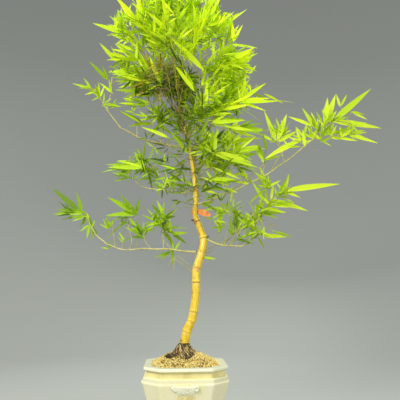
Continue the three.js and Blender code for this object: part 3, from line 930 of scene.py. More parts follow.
boughLook = {
    "sides": 9,
    "spacing": 3.0,
    "slimming": 0.72,     # the shown stems over their solids
    "thinnest": 1.0,
    "nodesFrom": 14,
    "nodeSpacing": 46,
    "nodeSwell": 0.3,
    "zigzag": 1.8,
    "groups": {"boughsLeft": ("left_low", "left_middle", "left_upper"),
               "boughsRight": ("right_upper", "right_lower"), "crownStems": ("",)},
    # 0 for pale straw, 1 for brown, by group and then for single limbs
    "groupAges": {"boughsLeft": 0.1, "boughsRight": 0.1, "crownStems": 0.75},
    "ages": {"bough_left_upper": 0.35, "bough_crown_right": 0.45, "bough_crown_right_low": 0.4,
             "bough_middle_right": 0.3, "twig_middle_left": 0.4, "twig_left_upper": 0.1,
             "bough_crown_low_left": 0.5, "twig_crown_right": 0.4},
}
boughPaths = {"culm": culmPath}


def stemMaterial(name, young, aged, dark):
    # young and aged: the colours where the attribute "shade" is 0 and 1
    material, tree = newMaterial(name)
    fine = grainOf(tree, 150, 3)
    factor = scaleAdd(tree, fine, 0.35, grainOf(tree, 24, 4))
    factor = calculate(tree, "SUBTRACT", factor, 0.18, clamp=True)
    colour = layer(tree, ramp(tree, factor, *young), ramp(tree, factor, *aged),
                   attributeOf(tree, "shade"))
    colour = layer(tree, colour, dark, attributeOf(tree, "ring"), 0.55)
    surface(tree, colour, 0.5, bump(tree, fine, 0.2, 0.0005))
    return material


def boughShape(path, thick, thin):
    # points, faces, and how near each point is to one of the stem's nodes
    along = np.arange(len(path)) * boughLook["spacing"]
    length = along[-1]
    radii = np.interp(along, [0, length], [thick, thin]) * boughLook["slimming"]
    marks = np.arange(boughLook["nodesFrom"], length, boughLook["nodeSpacing"])
    gaps, bend = np.full(len(path), 99.0), np.zeros(len(path))
    if len(marks):
        gaps, owners = nearestMark(along, marks)
        zigzag = boughLook["zigzag"] * (-1.0) ** np.arange(len(marks))
        bend = np.interp(along, marks, zigzag) * smooth(along, 0, 20) * smooth(length - along, 0, 20)
    radii = np.maximum(radii, boughLook["thinnest"]) * (1 + boughLook["nodeSwell"] * bell(gaps, 2.6))
    across = unit(np.cross(path[-1] - path[0], up))
    points, faces = sweep(path + np.outer(bend, 0.5 * across + 0.7 * up), radii, boughLook["sides"])
    return points, faces, np.repeat(bell(gaps, 2.2), boughLook["sides"])


def buildBoughs():
    straw = stemMaterial("strawBough", [(0.0, 226, 218, 150), (0.4, 210, 204, 118),
                                        (0.7, 170, 172, 78), (1.0, 126, 124, 58)],
                         [(0.0, 206, 150, 52), (0.5, 176, 122, 44), (1.0, 112, 78, 34)],
                         (128, 104, 58))
    members = {group: [] for group in boughLook["groups"]}
    for name, (parent, leaves, thick, thin, through) in boughs.items():
        trunk = boughPaths[parent]
        start = nearLevel(leaves) if parent == "culm" else trunk[int(round(leaves * (len(trunk) - 1)))]
        boughPaths[name] = linePath([start] + through, boughLook["spacing"])
        group = next(group for group, words in boughLook["groups"].items()
                     if any(word in name for word in words))
        age = boughLook["ages"].get(name, boughLook["groupAges"][group])
        members[group].append((name, age, *boughShape(boughPaths[name], thick, thin)))
    for group, stems in members.items():
        points, faces = joined([(points, faces) for name, age, points, faces, ring in stems])
        values = {"ring": np.concatenate([ring for *rest, ring in stems]),
                  "shade": np.concatenate([np.full(len(ring), age)
                                           for name, age, *rest, ring in stems])}
        piece = meshPiece(group, points, faces, straw, values)
        placePiece(piece, [name for name, *rest in stems])


buildBoughs()
print("boughs")


# Thin stems: a tree that turns lines into tubes, for twigs and for root fibres

def buildStems(name, lines, sides, material):
    # lines: lists of points, each with its radii and a shade from 0 to 1
    points, edges, radii, shades = [], [], [], []
    for line, thickness, shadeOf in lines:
        edges += [(len(points) + step, len(points) + step + 1) for step in range(len(line) - 1)]
        points.extend(line)
        radii.extend(thickness)
        shades.extend([shadeOf] * len(line))
    mesh = newMesh(name, points, edges, (), {"thickness": np.array(radii) * mm, "shade": shades})
    sizes = {"Sides": sides, "Thickness": 1.0}
    tree, given = newTree(name + "Tubes", sizes)
    curve = addNode(tree, "GeometryNodeMeshToCurve", {"Mesh": given["Geometry"]})
    circle = addNode(tree, "GeometryNodeCurvePrimitiveCircle",
                     {"Resolution": given["Sides"], "Radius": 1.0})
    scaled = calculate(tree, "MULTIPLY", namedInput(tree, "thickness"), given["Thickness"])
    tube = addNode(tree, "GeometryNodeCurveToMesh",
                   {"Curve": curve, "Profile Curve": circle, "Scale": scaled, "Fill Caps": True})
    endTree(tree, tube, material)
    return runTree(name, mesh, tree, sizes)


# The roots: a fibrous crown round the culm's foot, a bud, and an old knuckle beside it

roots = {
    "crown": [(14.8, 271), (18, 267), (22.5, 259), (29, 250), (35, 242), (39.5, 233), (42, 222)],
    "levels": 26,
    "sides": 72,
    "fibres": 380,
    "strays": 60,
    "fibreSteps": 8,
    "seed": 5,
    "centre": (-4, -1),
}
knuckle = {
    "shift": (9, -12, -5),  # from the solid's middle
    "growth": 1.65,
    "rows": 26,
    "columns": 40,
    "fibres": 70,
    "fibreRadii": [0.9, 0.8, 0.6, 0.4],
}
bud = {
    "line": [(-20, -32, 245), (-24, -32, 251), (-25, -28, 257), (-22, -22, 262)],
    "radius": 3.9,
    "sides": 18,
}


def rootMaterial(name, factorOf, *stops):
    material, tree = newMaterial(name)
    fine = grainOf(tree, 300, 3)
    colour = layer(tree, ramp(tree, factorOf(tree), *stops), (70, 58, 30), fine, 0.25)
    surface(tree, colour, 0.9, bump(tree, fine, 0.6, 0.0006))
    return material


def woodMaterial(name):
    return rootMaterial(name, lambda tree: grainOf(tree, 130, 4, (1, 1, 0.3)),
                        (0.3, 34, 28, 14), (0.55, 70, 56, 28), (0.8, 140, 118, 62))


def fibreMaterial(name):
    return rootMaterial(name, lambda tree: attributeOf(tree, "shade"), (0.0, 40, 32, 16),
                        (0.35, 84, 66, 34), (0.6, 176, 150, 88), (1.0, 232, 214, 156))


def buildRootCrown(profile):
    levels = np.linspace(0, 1, roots["levels"])
    stops = np.linspace(0, 1, len(profile))
    points = []
    for level in levels:
        reach, height = (np.interp(level, stops, column) for column in profile.T)
        for turn in range(roots["sides"]):
            angle = math.tau * turn / roots["sides"]
            slant = angle + 0.5 * level
            ridge = roughness(math.cos(slant) * 7, math.sin(slant) * 7, 0.7)
            lump = roughness(math.cos(angle) * 1.6, math.sin(angle) * 1.6, height * 0.08)
            radius = reach + 2.2 * ridge * level ** 0.3 + 2.4 * lump
            points.append((roots["centre"][0] + radius * math.cos(angle),
                           roots["centre"][1] + radius * math.sin(angle), height))
    faces = tubeFaces(len(levels), roots["sides"], inward=True)
    placePiece(meshPiece("rootCrown", points, faces, woodMaterial("rootWood")))


def buildRootFibres(profile, rng):
    # fibres down the crown's slope, some of which stray out over the grit
    slope = np.concatenate([[0], np.cumsum(np.hypot(*np.diff(profile, axis=0).T))])
    edge = slope[-1]
    lines = []
    for order in range(roots["fibres"] + roots["strays"]):
        stray = order >= roots["fibres"]
        angle = rng.uniform(0, math.tau)
        slant = rng.uniform(0.1, 0.7)
        start = rng.uniform(2, 40)
        end = min(start + rng.uniform(14, 40), edge + 4)
        if stray:
            end = edge + rng.uniform(4, 22)
        thick = rng.uniform(0.7, 1.7) * (0.6 if stray else 1)
        wander = rng.uniform(-0.2, 0.2)
        proud = rng.uniform(0.4, 2.2)
        line, thickness = [], []
        for part in np.linspace(0, 1, roots["fibreSteps"] + 1):
            along = start + (end - start) * part
            arch = math.sin(math.pi * part)
            reach, height = (np.interp(along, slope, column) for column in profile.T)
            radius = reach + max(0.0, along - edge)
            turn = angle + slant * part + wander * arch
            x = roots["centre"][0] + radius * math.cos(turn)
            y = roots["centre"][1] + radius * math.sin(turn)
            line.append((x, y, max(gritHeight(x, y) + 0.6 * (1 - part), height + proud * arch)))
            thickness.append(thick * (1 - 0.5 * part))
        # painted light: fibres on the side towards the front and a little right are paler; those that
        # reach the crown's edge are darker
        bright = 0.36 + 0.2 * max(0.0, math.cos(angle - 5.0)) + rng.uniform(-0.5, 0.55)
        bright -= 0.25 * smooth(end, edge - 12, edge)
        lines.append((line, thickness, min(1.0, max(0.0, bright))))
    placePiece(buildStems("rootFibres", lines, 5, fibreMaterial("rootFibre")))


def buildKnuckle(rng):
    low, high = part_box("root_knuckle")
    centre = np.array((low + high) / 2) / mm + knuckle["shift"]
    half = np.array((high - low) / 2) / mm * knuckle["growth"]
    points = []
    for lift in np.linspace(0, math.pi, knuckle["rows"] + 1):
        for column in range(knuckle["columns"]):
            angle = math.tau * column / knuckle["columns"]
            way = np.array([math.sin(lift) * math.cos(angle), math.sin(lift) * math.sin(angle),
                            math.cos(lift)])
            rough = roughness(*way * 2.6) * 0.22 + roughness(*way * 7) * 0.12
            points.append(centre + way * half * (0.98 + rough))
    faces = ringFaces(knuckle["rows"] + 1, knuckle["columns"], 0, True)
    piece = meshPiece("rootKnuckle", points, faces, woodMaterial("oldRoot"))
    weld(piece.data)
    placePiece(piece, ["root_knuckle"])
    lines = []
    for order in range(knuckle["fibres"]):
        way = unit(np.array([rng.gauss(0, 1), rng.gauss(0, 1), abs(rng.gauss(0, 0.8))]))
        start = centre + way * half * 0.9
        line = [start + way * 2.5 * step + np.array([rng.uniform(-1.2, 1.2),
                                                     rng.uniform(-1.2, 1.2),
                                                     -0.35 * step ** 1.6]) for step in range(4)]
        lines.append((line, knuckle["fibreRadii"], rng.uniform(0.0, 0.45)))
    placePiece(buildStems("knuckleFibres", lines, 4, fibreMaterial("knuckleFibre")))


def weld(mesh):
    # joins the points that meet at a pole
    shape = bmesh.new()
    shape.from_mesh(mesh)
    bmesh.ops.remove_doubles(shape, verts=shape.verts, dist=1e-6)
    bmesh.ops.recalc_face_normals(shape, faces=shape.faces)
    shape.to_mesh(mesh)
    shape.free()
    shade(mesh, True)


def buildBud():
    path = linePath(bud["line"], 1.0)
    part = np.linspace(0, 1, len(path))
    egg = np.sqrt(np.clip(1 - (2 * part - 0.75) ** 2 / 1.6, 0.02, 1)) * (1.05 - 0.75 * part)
    material, tree = newMaterial("rootBud")
    scale = grainOf(tree, 140, 3, (1, 1, 0.2))
    colour = ramp(tree, scale, (0.2, 150, 98, 52), (0.6, 112, 66, 34), (1.0, 70, 44, 26))
    surface(tree, colour, 0.6, bump(tree, scale, 0.5, 0.0008))
    points, faces = sweep(path, bud["radius"] * egg, bud["sides"])
    placePiece(meshPiece("rootBudShoot", points, faces, material))


rootRandom = random.Random(roots["seed"])
rootProfile = np.array(roots["crown"], float)
buildRootCrown(rootProfile)
buildRootFibres(rootProfile, rootRandom)
buildKnuckle(rootRandom)
buildBud()
print("roots")


# The tape: a band tied round the culm, with a loose end

tape = {
    "level": 672,
    "height": 14,
    "thickness": 0.9,
    "clear": 0.8,
    "rows": 9,
    "turns": 41,
    "wrinkle": 0.45,
    "open": (-26, 206),   # the band's two ends in degrees, counted from the right round the back
    # the loose end's middle line, out from the culm's, and how wide it is there
    "tail": [(8, -1, 1), (13, -3, 1), (24, -2.5, -1.5), (34, -6, -6), (43, -5, -9), (49, -7.5, -9)],
    "tailWidths": [12, 15, 21, 19, 14, 7],
    "section": ((-0.5, -0.5), (0, -0.35), (0.5, -0.5), (0.5, 0.5), (0, 0.65), (-0.5, 0.5)),
}


def tapeMaterial():
    material, tree = newMaterial("orangeTape")
    colour = ramp(tree, grainOf(tree, 60, 3), (0.25, 246, 158, 84), (0.7, 236, 128, 58))
    creases = grainOf(tree, 420, 2, (0.3, 0.3, 1.6))
    surface(tree, colour, 0.42, bump(tree, creases, 0.4, 0.0006))
    return material


def tapeTail(centre):
    corners = np.array(tape["tail"], float)
    path = linePath(corners + centre, 1.5)
    widths = np.interp(path[:, 0] - centre[0], corners[:, 0], tape["tailWidths"])
    points = []
    for order, (place, width) in enumerate(zip(path, widths)):
        way = unit(path[min(order + 1, len(path) - 1)] - path[max(order - 1, 0)])
        across = unit(np.cross(way, up))
        rise = unit(np.cross(across, way))
        points += [place + rise * width * high + across * tape["thickness"] * deep
                   for high, deep in tape["section"]]
    return points, tubeFaces(len(path), len(tape["section"]))


def tapeBand(centre, way):
    # an outer and an inner skin, joined at the edges and at the two ends
    inner = culmRadius(tape["level"]) + tape["clear"]
    rows, turns = tape["rows"], tape["turns"]
    outside = [(row / (rows - 1) - 0.5, inner + tape["thickness"]) for row in range(rows)]
    inside = [(part, inner) for part, radius in reversed(outside)]
    points = []
    for part, skin in outside + inside:
        for angle in np.radians(np.linspace(*tape["open"], turns)):
            x, y = math.cos(angle), math.sin(angle)
            radius = skin + tape["wrinkle"] * roughness(x * 2, y * 2, part * 2.5)
            pinch = 1 - 0.25 * bell(angle, 0.6)
            points.append(centre + way * tape["height"] * part * pinch
                          + np.array([radius * x, radius * y, 0]))
    starts = [ring * turns for ring in range(2 * rows)]
    faces = [(low + turn, low + turn + 1, high + turn + 1, high + turn)
             for low, high in zip(starts, starts[1:] + starts[:1]) for turn in range(turns - 1)]
    faces += [tuple(reversed(starts)), tuple(low + turns - 1 for low in starts)]
    return points, faces


def buildTape():
    stop = int(np.abs(culmPath[:, 2] - tape["level"]).argmin())
    centre = culmPath[stop]
    way = unit(culmPath[stop + 2] - culmPath[stop - 2])
    points, faces = joined([tapeBand(centre, way), tapeTail(centre)])
    placePiece(meshPiece("tapeBand", points, faces, tapeMaterial(), sharp=50), ["tape"])


buildTape()
print("tape")


# The foliage: twigs grown on from the limbs towards shoot tips, and leaves in sprays

foliage = {
    "seed": 12,
    "slimness": (0.105, 0.135),     # a leaf's width over its length
    "lowerWidth": 1.25,             # how much wider the placed leaves are low down or to the right
    "lowerFrom": (200, 780),        # which starts beyond this x or below this height
    "widest": 19,
    "sag": 0.16,
    "clear": 13,                    # how far a leaf may reach past the solid plant's box
    "crownCentre": (-25, 0, 1110),
    "crownHalf": (230, 190, 330),
    "bareCulm": (640, 862, 20),     # few leaves hang before it: low, high, to either side
    "bareChance": 0.8,              # how many of them are dropped
    "twigStep": 16,                 # how long a twig's pieces are
    "inward": 0.80,                 # where a mass's outermost clump lies, over its half size
    "fanAt": (0.48, 0.72),          # where its fans of long leaves start
    "clumpSize": 30,
    "spraysPerClump": (3, 5),
    "leavesPerSpray": (2, 4),
    "smallLeaf": (24, 80, 42),      # shortest, longest and most common
    "leavesPerFan": (4, 7),
    "longLeaf": (52, 118, 78),
    "bareTwigs": 0.5,               # bare twigs for each clump
    "opening": ((-125, -300, 1062), (-35, -30, 1185)),  # few leaves grow in this space
    "openingChance": 0.6,           # how many of its shoots are dropped
}
forkStems = {  # thin stems that rise through the crown from the culm's fork
    "count": 22,
    "from": (915, 1008),
    "rise": (1100, 1380),
    "spread": (125, 105),
    "thick": 1.6,
}
forkKnot = {  # dry stubs and bare brown twigs about the fork
    "stubs": 70,
    "levels": (925, 1012),
    "reach": (10, 36),
    "risers": 60,
    "riserLevels": (950, 1120),
    "riserReach": (60, 170),
    "tangle": 95,                   # short brown twigs with dry leaves, about this place
    "tangleAt": (-78, -48, 1108),
    "tangleHalf": (56, 34, 66),
}
culmShoots = {  # short leafy shoots straight from the culm
    "levels": (705, 1004),
    "step": 2.6,
    "reach": (26, 130),
    # dry stubs at the nodes: height, which way in degrees, length and radius
    "stubs": [(640, 184, 12, 3.0), (642, 205, 8, 2.4), (588, -8, 9, 2.2), (541, 190, 8, 1.6),
              (745, 182, 10, 1.4), (797, 176, 9, 1.5), (752, -12, 9, 1.4), (843, 10, 9, 1.3)],
    "wisps": 60,
    "wispLevels": (541, 588, 693, 750, 797, 843, 874, 905),
    "leafyFrom": 690,               # wisps below this height are short and bare
}
# Each mass of leaves: the limb that it grows on from, its clumps for each litre, its fans of long
# leaves, the size of its leaves, how much brighter they are as painted light, and how far they keep to
# the limb
growth = {
    "crown_peak": ("stem_centre", 11, 14, 1.0, -0.02, 0),
    "crown_upper_left": ("stem_left", 8, 9, 1.0, -0.04, 0.16),
    "crown_upper_right": ("stem_right", 9, 13, 0.97, 0.04, 0.13),
    "crown_front": ("stem_front", 9, 8, 0.95, -0.04, 0),
    "crown_back": ("stem_back", 7, 12, 1.0, 0, 0),
    "crown_left": ("twig_left_upper", 3, 4, 0.85, -0.04, 0.28),
    "crown_right": ("twig_crown_right", 8, 10, 1.0, 0.08, 0.2),
    "crown_left_back": ("stem_left_back", 5, 8, 1.0, -0.04, 0.3),
    "crown_right_back": ("bough_crown_right_back", 6, 10, 1.0, 0, 0.1),
    "crown_low_left": ("bough_crown_low_left", 18, 4, 0.9, -0.08, 0.1),
    "crown_low_right": ("bough_crown_right", 16, 6, 1.05, 0.06, 0),
    "crown_right_low": ("bough_crown_right_low", 10, 4, 0.95, 0.08, 0),
    "crown_heart": ("stem_front", 60, 0, 0.8, 0.02, 0),
    "left_tip": ("bough_left_upper_rise", 3, 0, 0.8, -0.05, 0.4),
    "middle_left": ("twig_middle_left", 28, 2, 0.95, 0.04, 0.1),
    "middle_right": ("bough_middle_right", 38, 2, 1.08, 0.26, 0),
    "middle_front": ("bough_middle_front", 30, 1, 0.9, -0.04, 0),
    "left_middle": ("bough_left_middle", 12, 1, 1.1, 0.1, 0.15),
    "left_low_outer": ("bough_left_low_rise", 2, 0, 0.8, 0.04, 0.5),
    "left_low_middle": ("twig_left_low_middle", 7, 0, 1.1, 0.06, 0.3),
    "left_low_inner": ("twig_left_low_inner", 11, 0, 1.1, 0.06, 0.2),
    "right_upper_outer": ("bough_right_upper", 0.5, 0, 0.85, 0.08, 0.6),
    "right_upper_middle": ("twig_right_upper", 6, 0, 0.9, 0.08, 0.4),
    "right_lower_outer": ("bough_right_lower_rise", 3, 0, 0.85, 0.06, 0.5),
    "right_lower_middle": ("twig_right_lower_middle", 10, 0, 0.9, 0.12, 0.3),
    "right_lower_low": ("bough_right_lower", 34, 0, 0.92, 0.14, 0.2),
    "right_lower_inner": ("twig_right_lower_inner", 36, 0, 0.92, 0.14, 0.1),
}
companions = [  # thin bare stems beside the boughs: limb, where it leaves, radius, then its course
    ("bough_right_upper", 0.28, 1.3, [(196, -64, 772), (262, -96, 828), (300, -112, 868)]),
    ("bough_right_upper", 0.62, 1.1, [(285, -118, 828), (322, -134, 868)]),
    ("bough_right_upper", 0.55, 1.0, [(240, -86, 800), (244, -86, 842)]),
    ("bough_right_lower", 0.30, 1.2, [(150, -40, 596), (206, -62, 652), (262, -86, 700)]),
    ("bough_right_lower", 0.42, 1.2, [(178, -52, 592), (232, -74, 652), (282, -94, 696)]),
    ("bough_right_lower", 0.55, 1.0, [(212, -62, 596), (258, -84, 634), (300, -98, 652)]),
    ("bough_right_lower", 0.22, 1.0, [(104, -24, 600), (110, -28, 640)]),
    ("bough_right_lower", 0.34, 1.0, [(150, -36, 600), (160, -40, 640)]),
    ("bough_right_lower", 0.80, 1.0, [(236, -60, 600), (262, -72, 624)]),
    ("bough_left_low", 0.30, 1.0, [(-70, 34, 592), (-52, 30, 622)]),
    ("bough_left_low", 0.52, 1.0, [(-132, 56, 590), (-130, 60, 630)]),
    ("bough_left_low", 0.66, 1.0, [(-160, 66, 588), (-150, 70, 625)]),
    ("bough_left_low", 0.90, 1.0, [(-236, 92, 600), (-244, 98, 640)]),
    ("bough_left_middle", 0.40, 1.1, [(-66, 36, 782), (-96, 50, 826)]),
    ("bough_left_middle", 0.30, 1.0, [(-58, 32, 790), (-72, 40, 840)]),
    ("bough_left_upper", 0.30, 1.0, [(-70, -8, 912), (-104, -12, 950)]),
    ("bough_left_upper", 0.75, 1.0, [(-160, -14, 950), (-176, -18, 1000)]),
    ("bough_crown_right", 0.40, 1.6, [(84, -44, 960), (90, -50, 1040), (84, -60, 1120)]),
    ("bough_crown_right", 0.20, 1.4, [(52, -40, 960), (44, -56, 1040), (40, -70, 1110)]),
    ("culm", 0.64, 1.0, [(52, -12, 862), (96, -28, 900), (128, -40, 960)]),
    ("culm", 0.60, 1.0, [(46, -14, 800), (98, -30, 812), (150, -46, 836)]),
    ("culm", 0.55, 0.9, [(50, -14, 756), (110, -34, 780), (168, -50, 788)]),
    ("culm", 0.36, 0.9, [(52, -13, 526)]),
    ("culm", 0.30, 0.8, [(-40, -12, 520), (-52, -16, 500)]),
    ("culm", 0.31, 0.8, [(-30, -16, 530), (-36, -20, 486)]),
]
# Sprays that give the plant its outline: where the shoot ends, then each leaf's rise in degrees
# from pointing right, seen from the front, and its length
outlineSprays = [
    ((385, -170, 892), [(90, 40), (105, 60), (120, 85)]),
    ((410, -165, 912), [(80, 85), (65, 130)]),
    ((437, -172, 920), [(40, 155), (0, 165)]),
    ((488, -175, 910), [(5, 50), (-50, 40)]),
    ((490, -168, 877), [(-15, 85)]),
    ((372, -160, 908), [(155, 80)]),
    ((350, -150, 845), [(90, 60)]),
    ((278, -110, 878), [(30, 75), (70, 95), (115, 105)]),
    ((340, -130, 868), [(-160, 60), (-155, 125)]),
    ((303, -90, 726), [(10, 175), (70, 65), (-25, 55)]),
    ((276, -88, 704), [(58, 66), (35, 45)]),
    ((260, -80, 698), [(80, 50), (-10, 125), (-12, 60)]),
    ((255, -82, 683), [(8, 78), (-8, 60), (130, 40)]),
    ((240, -80, 668), [(-4, 72), (12, 50), (100, 40)]),
    ((225, -75, 655), [(-5, 70), (5, 60)]),
    ((209, -70, 611), [(15, 60), (-8, 55), (140, 45), (90, 40)]),
    ((230, -75, 629), [(4, 75), (-12, 62), (60, 45)]),
    ((235, -60, 590), [(2, 80), (15, 50)]),
    ((247, -85, 740), [(105, 70), (30, 50)]),
    ((235, -78, 695), [(120, 75)]),
    ((155, -40, 630), [(90, 60)]),
    ((185, -50, 620), [(85, 45)]),
    ((105, -25, 610), [(90, 75)]),
    ((91, -105, 839), [(88, 76), (-8, 118), (-22, 70), (150, 40)]),
    ((120, -95, 822), [(-14, 105), (20, 50)]),
    ((79, -95, 936), [(2, 110), (-8, 80), (35, 60)]),
    ((140, -95, 922), [(-5, 80), (-20, 70), (12, 60), (40, 40)]),
    ((119, -80, 783), [(8, 62), (-20, 55), (150, 40)]),
    ((80, -70, 762), [(4, 82), (-12, 50), (120, 35)]),
    ((155, -40, 785), [(0, 40)]),
    ((-354, 115, 691), [(181, 118), (143, 138), (106, 76), (172, 80)]),
    ((-341, 112, 675), [(185, 62), (-120, 45), (200, 50)]),
    ((-322, 108, 643), [(-95, 48), (-140, 40), (-60, 40)]),
    ((-305, 105, 633), [(-75, 36), (70, 30)]),
    ((-165, 92, 682), [(146, 112), (131, 92), (178, 105), (80, 58), (164, 60)]),
    ((-149, 80, 610), [(125, 78), (152, 60), (35, 50), (75, 40)]),
    ((-205, 95, 585), [(130, 35)]),
    ((-245, 98, 640), [(125, 40), (85, 25)]),
    ((-68, 50, 658), [(114, 68), (135, 75), (199, 70), (-95, 55)]),
    ((-45, 45, 610), [(100, 60), (5, 62), (-35, 62), (140, 50)]),
    ((-42, 35, 550), [(-162, 66), (-95, 48), (60, 40)]),
    ((-140, 70, 838), [(175, 130), (165, 65), (125, 68), (150, 55)]),
    ((-100, 60, 855), [(-15, 55), (90, 35)]),
    ((-190, 72, 800), [(-165, 55), (160, 65), (25, 35)]),
    ((-40, 40, 780), [(65, 50), (-85, 35), (-140, 55)]),
    ((-311, -40, 1069), [(157, 70), (120, 45), (175, 40)]),
    ((-298, -38, 1063), [(80, 50), (140, 45), (-160, 35)]),
    ((-282, -36, 1044), [(95, 55), (70, 45), (130, 50), (-150, 30)]),
    ((-265, -35, 1020), [(85, 40), (35, 30), (0, 60)]),
    ((-243, -30, 1009), [(60, 42), (20, 30)]),
    ((-242, -35, 1062), [(125, 126), (112, 82), (140, 60)]),
    ((-172, -25, 1110), [(170, 80), (180, 70), (185, 45)]),
    ((-60, -20, 915), [(155, 100)]),
    ((-150, -30, 960), [(150, 80)]),
    ((-170, -15, 1010), [(75, 35)]),
    ((-210, -20, 1283), [(155, 105), (135, 100), (150, 60)]),
    ((-180, -25, 1325), [(125, 100), (150, 55)]),
    ((-155, -20, 1330), [(90, 95)]),
    ((-200, -25, 1205), [(140, 60), (160, 55)]),
    ((-165, -40, 1165), [(130, 70), (90, 75)]),
    ((-90, -60, 1215), [(150, 55), (15, 50)]),
    ((55, -110, 1100), [(135, 155)]),
    ((-85, -60, 1080), [(110, 105), (90, 70)]),
    ((25, -90, 1045), [(130, 115), (115, 95)]),
    ((55, -30, 1340), [(10, 115), (-30, 50), (55, 110)]),
    ((142, -30, 1258), [(80, 90), (60, 95)]),
    ((148, -40, 1235), [(-5, 95)]),
    ((142, -30, 1195), [(20, 90), (-5, 85)]),
    ((170, -35, 1168), [(5, 55), (-10, 80)]),
    ((125, -40, 1185), [(-40, 95)]),
    ((190, -45, 1033), [(50, 115), (5, 125), (-20, 70), (85, 70)]),
    ((220, -50, 1060), [(0, 60)]),
    ((185, -50, 1065), [(80, 65), (145, 35)]),
    ((52, -60, 1078), [(40, 60), (75, 70)]),
    ((45, -65, 985), [(100, 85), (80, 60)]),
    ((62, -70, 1000), [(88, 92), (112, 60)]),
    ((85, -70, 1006), [(85, 62), (60, 50)]),
    ((104, -60, 1012), [(92, 66), (70, 55)]),
    ((133, -60, 1032), [(90, 92), (110, 60)]),
    ((76, -70, 1055), [(60, 72), (95, 60)]),
    ((62, -15, 527), [(-3, 40)]),
    ((348, -125, 872), [(150, 45), (105, 55), (65, 40), (20, 40)]),
    ((380, -135, 880), [(95, 50), (60, 45), (140, 35)]),
    ((405, -146, 870), [(80, 40), (130, 45), (20, 40), (-20, 35)]),
    ((432, -150, 880), [(60, 45), (110, 40), (0, 50)]),
    ((462, -158, 876), [(35, 55), (90, 40), (-10, 55)]),
    ((492, -162, 886), [(15, 50), (60, 35), (-30, 45)]),
    ((315, -118, 856), [(60, 35), (120, 35), (10, 40)]),
    ((358, -115, 887), [(70, 55), (115, 45), (10, 45), (150, 40)]),
    ((384, -120, 889), [(50, 50), (100, 40), (-5, 45)]),
    ((414, -125, 891), [(25, 55), (75, 50), (130, 35)]),
    ((438, -130, 896), [(10, 60), (60, 45), (-25, 40)]),
    ((461, -135, 895), [(20, 55), (-15, 50), (100, 35)]),
    ((484, -140, 897), [(5, 55), (-30, 40), (50, 40)]),
    ((512, -145, 889), [(-10, 45), (15, 40)]),
    ((420, -165, 918), [(50, 62), (110, 45), (20, 75)]),
    ((240, -95, 820), [(114, 70), (20, 65)]),
    ((85, -38, 962), [(5, 105), (40, 45)]),
    ((165, -45, 930), [(40, 60), (10, 80), (-10, 70), (75, 45)]),
    ((180, -48, 868), [(5, 60), (-15, 50), (60, 40)]),
    ((150, -45, 828), [(-12, 80), (20, 55), (160, 45)]),
    ((155, -45, 790), [(5, 50), (-20, 45), (120, 40)]),
    ((90, -35, 768), [(0, 60), (150, 45), (80, 35)]),
    ((125, -45, 745), [(60, 40), (-20, 45), (110, 40)]),
    ((60, -30, 735), [(70, 40), (-10, 45)]),
    ((195, -55, 760), [(170, 45), (110, 40), (20, 30)]),
    ((110, -28, 668), [(152, 58), (20, 30)]),
    ((190, -58, 625), [(30, 45), (140, 40), (-30, 40), (80, 35)]),
    ((215, -65, 610), [(10, 50), (-20, 45), (60, 30)]),
    ((-68, 30, 840), [(162, 60), (92, 45), (-25, 70)]),
    ((-65, 45, 775), [(55, 60), (120, 30)]),
    ((-85, 45, 765), [(-90, 40), (-60, 30)]),
    ((-25, -20, 775), [(170, 45), (20, 30)]),
    ((-60, 48, 628), [(95, 55), (150, 40), (-30, 50), (10, 45)]),
    ((-140, 80, 620), [(120, 55), (155, 45), (60, 45), (20, 45), (90, 40)]),
    ((-200, 92, 592), [(125, 35), (20, 30)]),
    ((-46, 36, 552), [(-140, 50), (100, 30)]),
    ((-190, -25, 1130), [(178, 65), (150, 35)]),
    ((-120, -20, 1030), [(172, 90), (165, 55), (200, 50)]),
    ((-130, -10, 985), [(165, 60), (190, 45), (140, 40)]),
    ((-95, -5, 1000), [(150, 50), (185, 40), (100, 40)]),
    ((-175, -18, 1005), [(170, 35), (110, 30)]),
    ((140, -40, 1105), [(90, 45)]),
    ((90, -60, 1010), [(85, 55)]),
]
outlineLight = {  # painted light on those sprays: their brightness by height and by how far to the right they are
    "low": 0.5,
    "high": 0.62,
    "sunny": 0.84,
    "highFrom": 860,
    "topFrom": 1190,
    "sunnyFrom": -100,
    "crossChance": 0.6,  # how many have a leaf that points at the front or away from it
}
